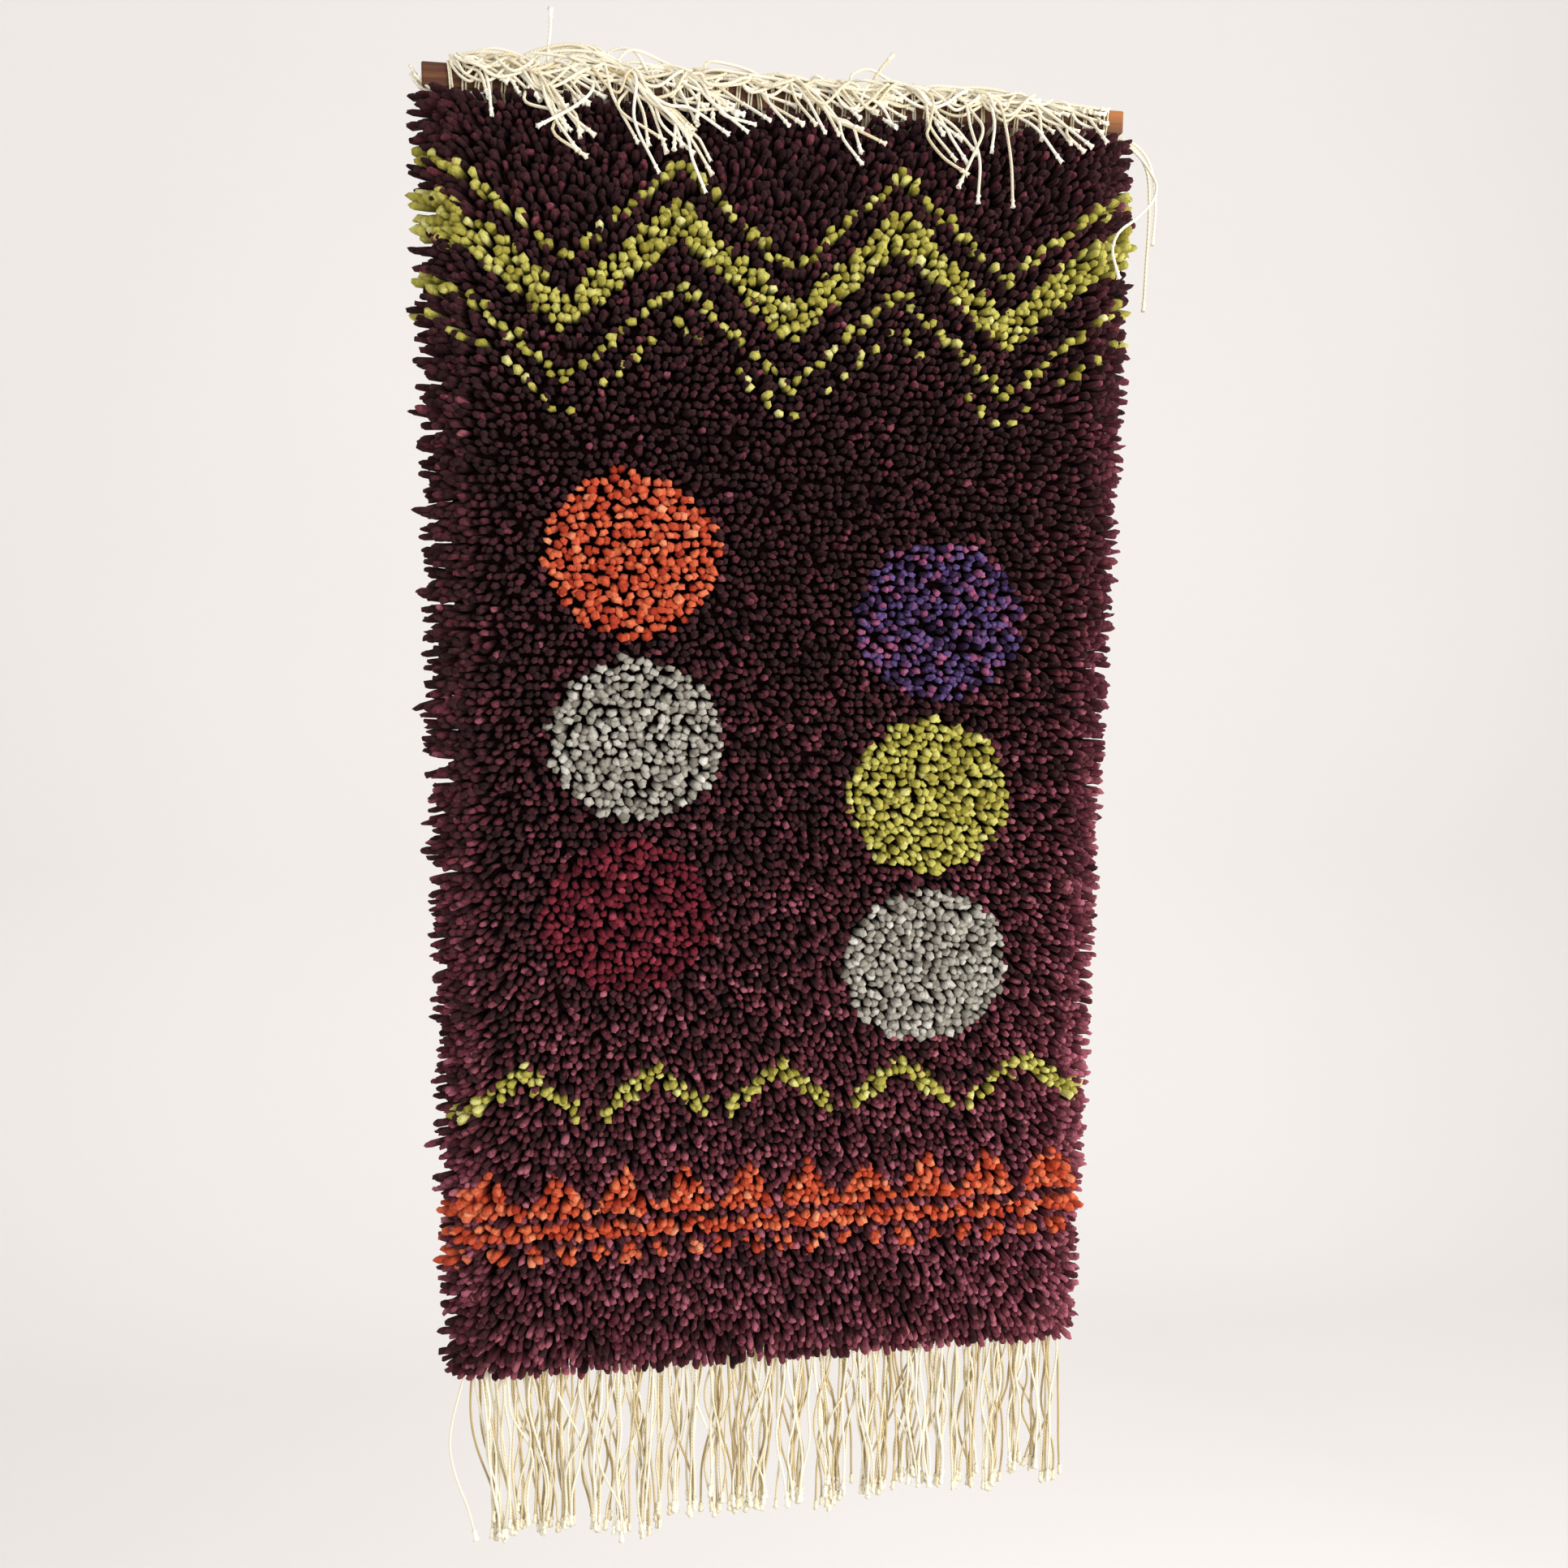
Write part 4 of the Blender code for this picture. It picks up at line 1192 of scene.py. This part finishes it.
# Each bunch: where its threads come from, the course they share, and where their tips lie
bunches = (
    {"from": -0.297, "to": -0.24, "count": 18,
     "spine": ((-0.262, 0.019), (-0.24, 0.017), (-0.224, 0.004), (-0.21, -0.016), (-0.198, -0.038)),
     "tips": ((-0.187, -0.065), (-0.193, -0.058), (-0.18, -0.045), (-0.201, -0.04), (-0.208, -0.03))},
    {"from": -0.235, "to": -0.165, "count": 24,
     "spine": ((-0.19, 0.034), (-0.164, 0.024), (-0.144, 0.008), (-0.124, -0.014), (-0.104, -0.038)),
     "tips": ((-0.081, -0.087), (-0.077, -0.071), (-0.077, -0.06), (-0.094, -0.056), (-0.101, -0.048),
              (-0.122, -0.073), (-0.129, -0.05), (-0.14, -0.049))},
    {"from": -0.168, "to": -0.095, "count": 19,
     "spine": ((-0.135, 0.02), (-0.108, 0.019), (-0.088, 0.006), (-0.07, -0.009)),
     "tips": ((-0.046, -0.035), (-0.04, -0.03), (-0.026, -0.023), (-0.054, -0.02), (-0.088, -0.029))},
    {"from": -0.105, "to": -0.03, "count": 17,
     "spine": ((-0.064, 0.021), (-0.03, 0.016), (-0.004, 0.013), (0.018, 0.001), (0.036, -0.018)),
     "tips": ((0.056, -0.055), (0.058, -0.043), (0.077, -0.038), (0.025, -0.03), (-0.008, -0.026))},
    {"from": -0.035, "to": 0.04, "count": 14,
     "spine": ((-0.004, 0.015), (0.028, 0.015), (0.056, 0.009), (0.076, -0.002)),
     "tips": ((0.098, -0.01), (0.105, -0.002), (0.093, 0.005), (0.084, -0.018))},
    {"from": 0.035, "to": 0.105, "count": 11,
     "spine": ((0.072, 0.023), (0.096, 0.022), (0.118, 0.01), (0.133, -0.012)),
     "tips": ((0.153, -0.048), (0.142, -0.047), (0.161, -0.04), (0.147, -0.028))},
    {"from": 0.095, "to": 0.17, "count": 9,
     "spine": ((0.128, 0.021), (0.158, 0.018), (0.186, 0.007), (0.21, -0.003)),
     "tips": ((0.236, -0.014), (0.228, -0.02), (0.243, 0.002), (0.241, -0.041))},
    {"from": 0.16, "to": 0.232, "count": 8,
     "spine": ((0.19, 0.018), (0.214, 0.013), (0.234, 0.002), (0.247, -0.01)),
     "tips": ((0.269, -0.027), (0.262, -0.031), (0.252, -0.024), (0.259, -0.014))},
    {"from": 0.222, "to": 0.28, "count": 6,
     "spine": ((0.24, 0.012), (0.256, 0.009), (0.271, 0.0)),
     "tips": ((0.286, -0.02), (0.281, -0.012), (0.288, -0.003))},
)
# Single ends, in front view: their course from the batten's top down to the tip
singles = (
    ((-0.288, 0.012), (-0.274, 0.014), (-0.265, -0.006), (-0.261, -0.034)),
    ((-0.196, 0.022), (-0.18, 0.014), (-0.176, -0.006), (-0.19, -0.026), (-0.217, -0.043)),
    ((0.128, 0.016), (0.15, 0.012), (0.166, -0.006), (0.171, -0.024), (0.163, -0.044), (0.15, -0.07)),
    ((0.112, 0.016), (0.128, 0.006), (0.122, -0.02), (0.12, -0.032), (0.133, -0.05), (0.15, -0.061)),
    ((0.146, 0.016), (0.158, 0.004), (0.16, -0.02), (0.166, -0.05), (0.166, -0.082)),
    ((0.178, 0.014), (0.19, 0.004), (0.193, -0.02), (0.197, -0.052), (0.198, -0.084)),
    ((0.166, 0.014), (0.181, 0.006), (0.183, -0.014), (0.179, -0.038)),
    ((-0.104, 0.018), (-0.09, 0.012), (-0.082, -0.006), (-0.086, -0.028)),
)


def inFront(place, layer=0.0):
    # A point of a front view, brought to where a thread lies at that height
    x, z = place
    return (x, float(np.interp(z, lie["z"], lie["y"])) - layer, z)


def woven(route, dice, loose):
    # The course with the small wanders of a slack thread; its two ends stay
    route = np.array(route, float)
    wander = dice.normal(0, 1.0, route.shape) * (loose, loose * 0.5, loose)
    wander[0] = wander[-1] = 0.0
    return smoothPath(route + wander, tangle["steps"])


def rootAt(x):
    # Where a thread comes up behind the batten's top edge
    return (x, -0.0012, battenHigh.z - 0.002)


def tipOf(bunch, number, start, dice):
    # The first threads end at their bunch's tips, the others short of those or along the batten
    tip, last = bunch["tips"][number % len(bunch["tips"])], bunch["spine"][-1]
    if number >= len(bunch["tips"]):
        back = dice.uniform(0.3, 2.2)
        tip = (tip[0] + (last[0] - tip[0]) * back + dice.normal(0, 0.011),
               min(tip[1] + (last[1] - tip[1]) * back + dice.normal(0, 0.007), 0.006))
        share = tangle["alongRight"] if start > tangle["busyTo"] else tangle["alongLeft"]
        if dice.random() < share:
            along = min(start + dice.uniform(0.035, 0.085), tangle["right"] - 0.004)
            tip = (along, battenHigh.z + dice.uniform(-0.007, 0.005))
    return (max(tip[0], start + 0.01), tip[1])


def bunchPath(bunch, number, dice):
    # From behind the batten's top edge into the course of its bunch, and out to its own tip
    start = bunch["from"] + (bunch["to"] - bunch["from"]) * (number + 0.5) / bunch["count"]
    start += dice.normal(0, 0.002)
    side, layer = dice.uniform(-1, 1), dice.uniform(0, tangle["deep"])
    lift = dice.uniform(0.25, 1.0)
    rise = battenHigh.z + 0.0018 + (bunch["spine"][0][1] - battenHigh.z) * lift
    route = [rootAt(start), (start + 0.002, -0.003, rise * 0.6 + 0.005)]
    tip = tipOf(bunch, number, start, dice)
    for step, (x, z) in enumerate(bunch["spine"]):
        if start + 0.014 < x < tip[0] - 0.012 and z > tip[1] + 0.016:
            weave = 0.0044 * math.sin(1.9 * step + 6 * side)
            height = z if z < battenHigh.z else battenHigh.z + 0.0015 + (z - battenHigh.z) * lift
            height += side * 0.0042 - weave * 0.5
            route.append(inFront((x + weave - side * 0.004, height), layer))
    last = route[-1]
    bow = dice.normal(0, 0.16)
    across, fall = tip[0] - last[0], tip[1] - last[2]
    if abs(fall) > 0.014:
        half = (last[0] + across * 0.5 - fall * bow, last[2] + fall * 0.5 + across * bow)
        route.append(inFront(half, layer * 0.7))
    route.append(inFront(tip, layer * 0.5))
    return woven(route, dice, 0.0026)


def strayPath(dice):
    # A short end on its own, lying along the batten
    start = tangle["left"] + tangle["straySpan"] * dice.random() ** 1.8
    run, drop = dice.uniform(0.022, 0.08), dice.choice([0.012, 0.006, -0.002, -0.01, -0.016])
    end = min(start + run, tangle["right"])
    drop = drop if start < tangle["busyTo"] else max(drop, 0.004)
    top = battenHigh.z + dice.uniform(0.002, 0.008)
    route = [rootAt(start), (start + 0.003, -0.0035, top)]
    for share in (0.35, 0.65):
        place = (start + (end - start) * share, top + (drop - top) * share ** 2)
        route.append(inFront(place, 0.003))
    route.append(inFront((end, drop), 0.002))
    return woven(route, dice, 0.0016)


def archPath(dice):
    # A slack thread that sags down the batten's front and goes up again
    start = tangle["left"] + tangle["archSpan"] * dice.random() ** 1.6
    run, sag = dice.uniform(0.028, 0.078), dice.uniform(0.004, 0.026)
    top, layer = battenHigh.z + dice.uniform(0.001, 0.007), dice.uniform(0.001, 0.009)
    shape = ((0.0, 0.0), (0.14, -0.25), (0.34, -0.85), (0.58, -1.0), (0.84, -0.35), (1.0, 0.05))
    route = [inFront((start + run * share, top + sag * fall), layer) for share, fall in shape]
    return woven(route, dice, 0.0017)


standingThreads = (  # two ends that stand up above the batten
    ((-0.214, -0.003, 0.012), (-0.213, -0.006, 0.03), (-0.2115, -0.005, 0.044), (-0.211, -0.0045, 0.055)),
    ((0.072, -0.005, 0.014), (0.077, -0.007, 0.024), (0.084, -0.006, 0.034), (0.089, -0.005, 0.04)),
)


def makeTangle(cotton):
    dice = np.random.default_rng(17)
    paths = [bunchPath(bunch, n, dice) for bunch in bunches for n in range(bunch["count"])]
    for course in singles:
        paths.append(woven([inFront(place, 0.005) for place in course], dice, 0.0006))
    paths += [strayPath(dice) for _ in range(tangle["stray"])]
    paths += [smoothPath(route, tangle["steps"]) for route in standingThreads]
    tones = np.clip(dice.normal(0.8, 0.14, len(paths)), 0.35, 1.0)
    makeThreads("thrownEnds", paths, tones, cotton, "top_fringe", tangle["radius"])
    arches = [archPath(dice) for _ in range(tangle["arches"])]
    tones = np.clip(dice.normal(0.74, 0.14, len(arches)), 0.3, 1.0)
    makeThreads(
        "slackThreads", arches, tones, cotton, "top_fringe", tangle["radius"], ends=0)


# Fringe of warp ends below the cloth

fringe = {
    "threads": 258,
    "radius": 0.00118,
    "steps": 20,
    "leftTip": -1.362,
    "rightTip": -1.343,
    "uneven": 0.007,
    "tipPitch": 0.0012,
    "bunch": (4, 6, 7, 8, 9, 10, 11, 12, 14),
    "half": 0.2965,
    "tone": 0.52,
    "brush": 1.5,
    "stray": (
        (-0.2985, -0.0085, -1.178), (-0.306, -0.011, -1.205), (-0.315, -0.013, -1.24),
        (-0.318, -0.013, -1.268), (-0.313, -0.012, -1.3), (-0.302, -0.011, -1.335),
        (-0.296, -0.011, -1.362)),
}


def swing(dice, t, size, rate, slow, fast):
    # A wander of random size and pace, from a thread's root to its tip
    reach = dice.normal(0, size)
    phase = t * dice.uniform(slow, fast) + dice.uniform(0, math.tau / rate)
    return reach * np.sin(rate * phase)


def fringePath(x, tip, dice, deep):
    # Deep: -1 to 1 from the threads in front to those at the back, which are painted darker as painted
    # shade
    top = clothBottom + 0.0025
    front = hang["front"] - float(forward(np.array([x]), np.array([top]))[0])
    front = front + 0.0015 + deep * 0.0014
    t = np.linspace(0, 1, 10)
    still = np.sin(math.pi * np.clip(t, 0, 0.96)) ** 0.7
    slow = swing(dice, t, 0.0078, math.pi, 0.8, 1.6)
    quick = swing(dice, t, 0.0026, math.tau, 1.2, 2.2)
    bow = 0.003 * np.sin(math.pi * t) * dice.uniform(-0.5, 1.0)
    join = eased(t) * 0.7 + t * 0.3
    route = np.stack([
        x + (tip[0] - x) * join + (slow + quick) * still,
        front + (deep * 0.002 + dice.normal(0, 0.0016)) * t - bow,
        top + (tip[1] - top) * t], axis=1)
    return smoothPath(route, fringe["steps"])


def makeFringe(cotton):
    dice = np.random.default_rng(41)
    count = fringe["threads"]
    roots = np.linspace(-fringe["half"], fringe["half"], count)
    roots += dice.normal(0, 0.0007, count)
    paths, tones = [], []
    first = 0
    while first < count:
        size = min(int(dice.choice(fringe["bunch"])), count - first)
        members = np.arange(first, first + size)
        first += size
        middle = roots[members].mean() + dice.normal(0, 0.004)
        low = dice.normal(0, fringe["uneven"])
        for member, slot in zip(members, dice.permutation(size)):
            x, deep = float(roots[member]), dice.uniform(-1, 1)
            slant = fringe["rightTip"] - fringe["leftTip"]
            tipZ = fringe["leftTip"] + slant * (x + hang["wide"] / 2) / hang["wide"]
            tipZ += low + dice.normal(0, 0.0032) + max(0.0, dice.normal(-0.012, 0.014))
            tipX = middle + (slot - (size - 1) / 2) * fringe["tipPitch"] * dice.uniform(0.5, 1.2)
            if dice.random() < 0.14:
                tipX += dice.choice([-1, 1]) * dice.uniform(0.007, 0.017)
            paths.append(fringePath(x, (float(tipX), float(tipZ)), dice, deep))
            # Painted shade: the further back a thread lies, the darker its tone
            tones.append(fringe["tone"] - 0.36 * deep + dice.normal(0, 0.07))
    paths.append(smoothPath(fringe["stray"], fringe["steps"]))
    tones.append(0.8)
    tones = np.clip(np.array(tones), 0.2, 0.98)
    return makeThreads("fringeThreads", paths, tones, cotton, "bottom_fringe", fringe["radius"],
                       ends=fringe["brush"])


tufts, pilePieces = makePile()
cloth = makeGround()
print("ground woven")
knotBacks = makeKnotBacks(tufts)
print("knot backs placed")
cotton = cottonFinish()
heading = makeHeading()
makeLoops(cotton)
makeLooseThreads(cotton)
print("loops and heading made")
makeTangle(cotton)
print("warp ends thrown over the batten")
fringePieces = makeFringe(cotton)
print("fringe hung")
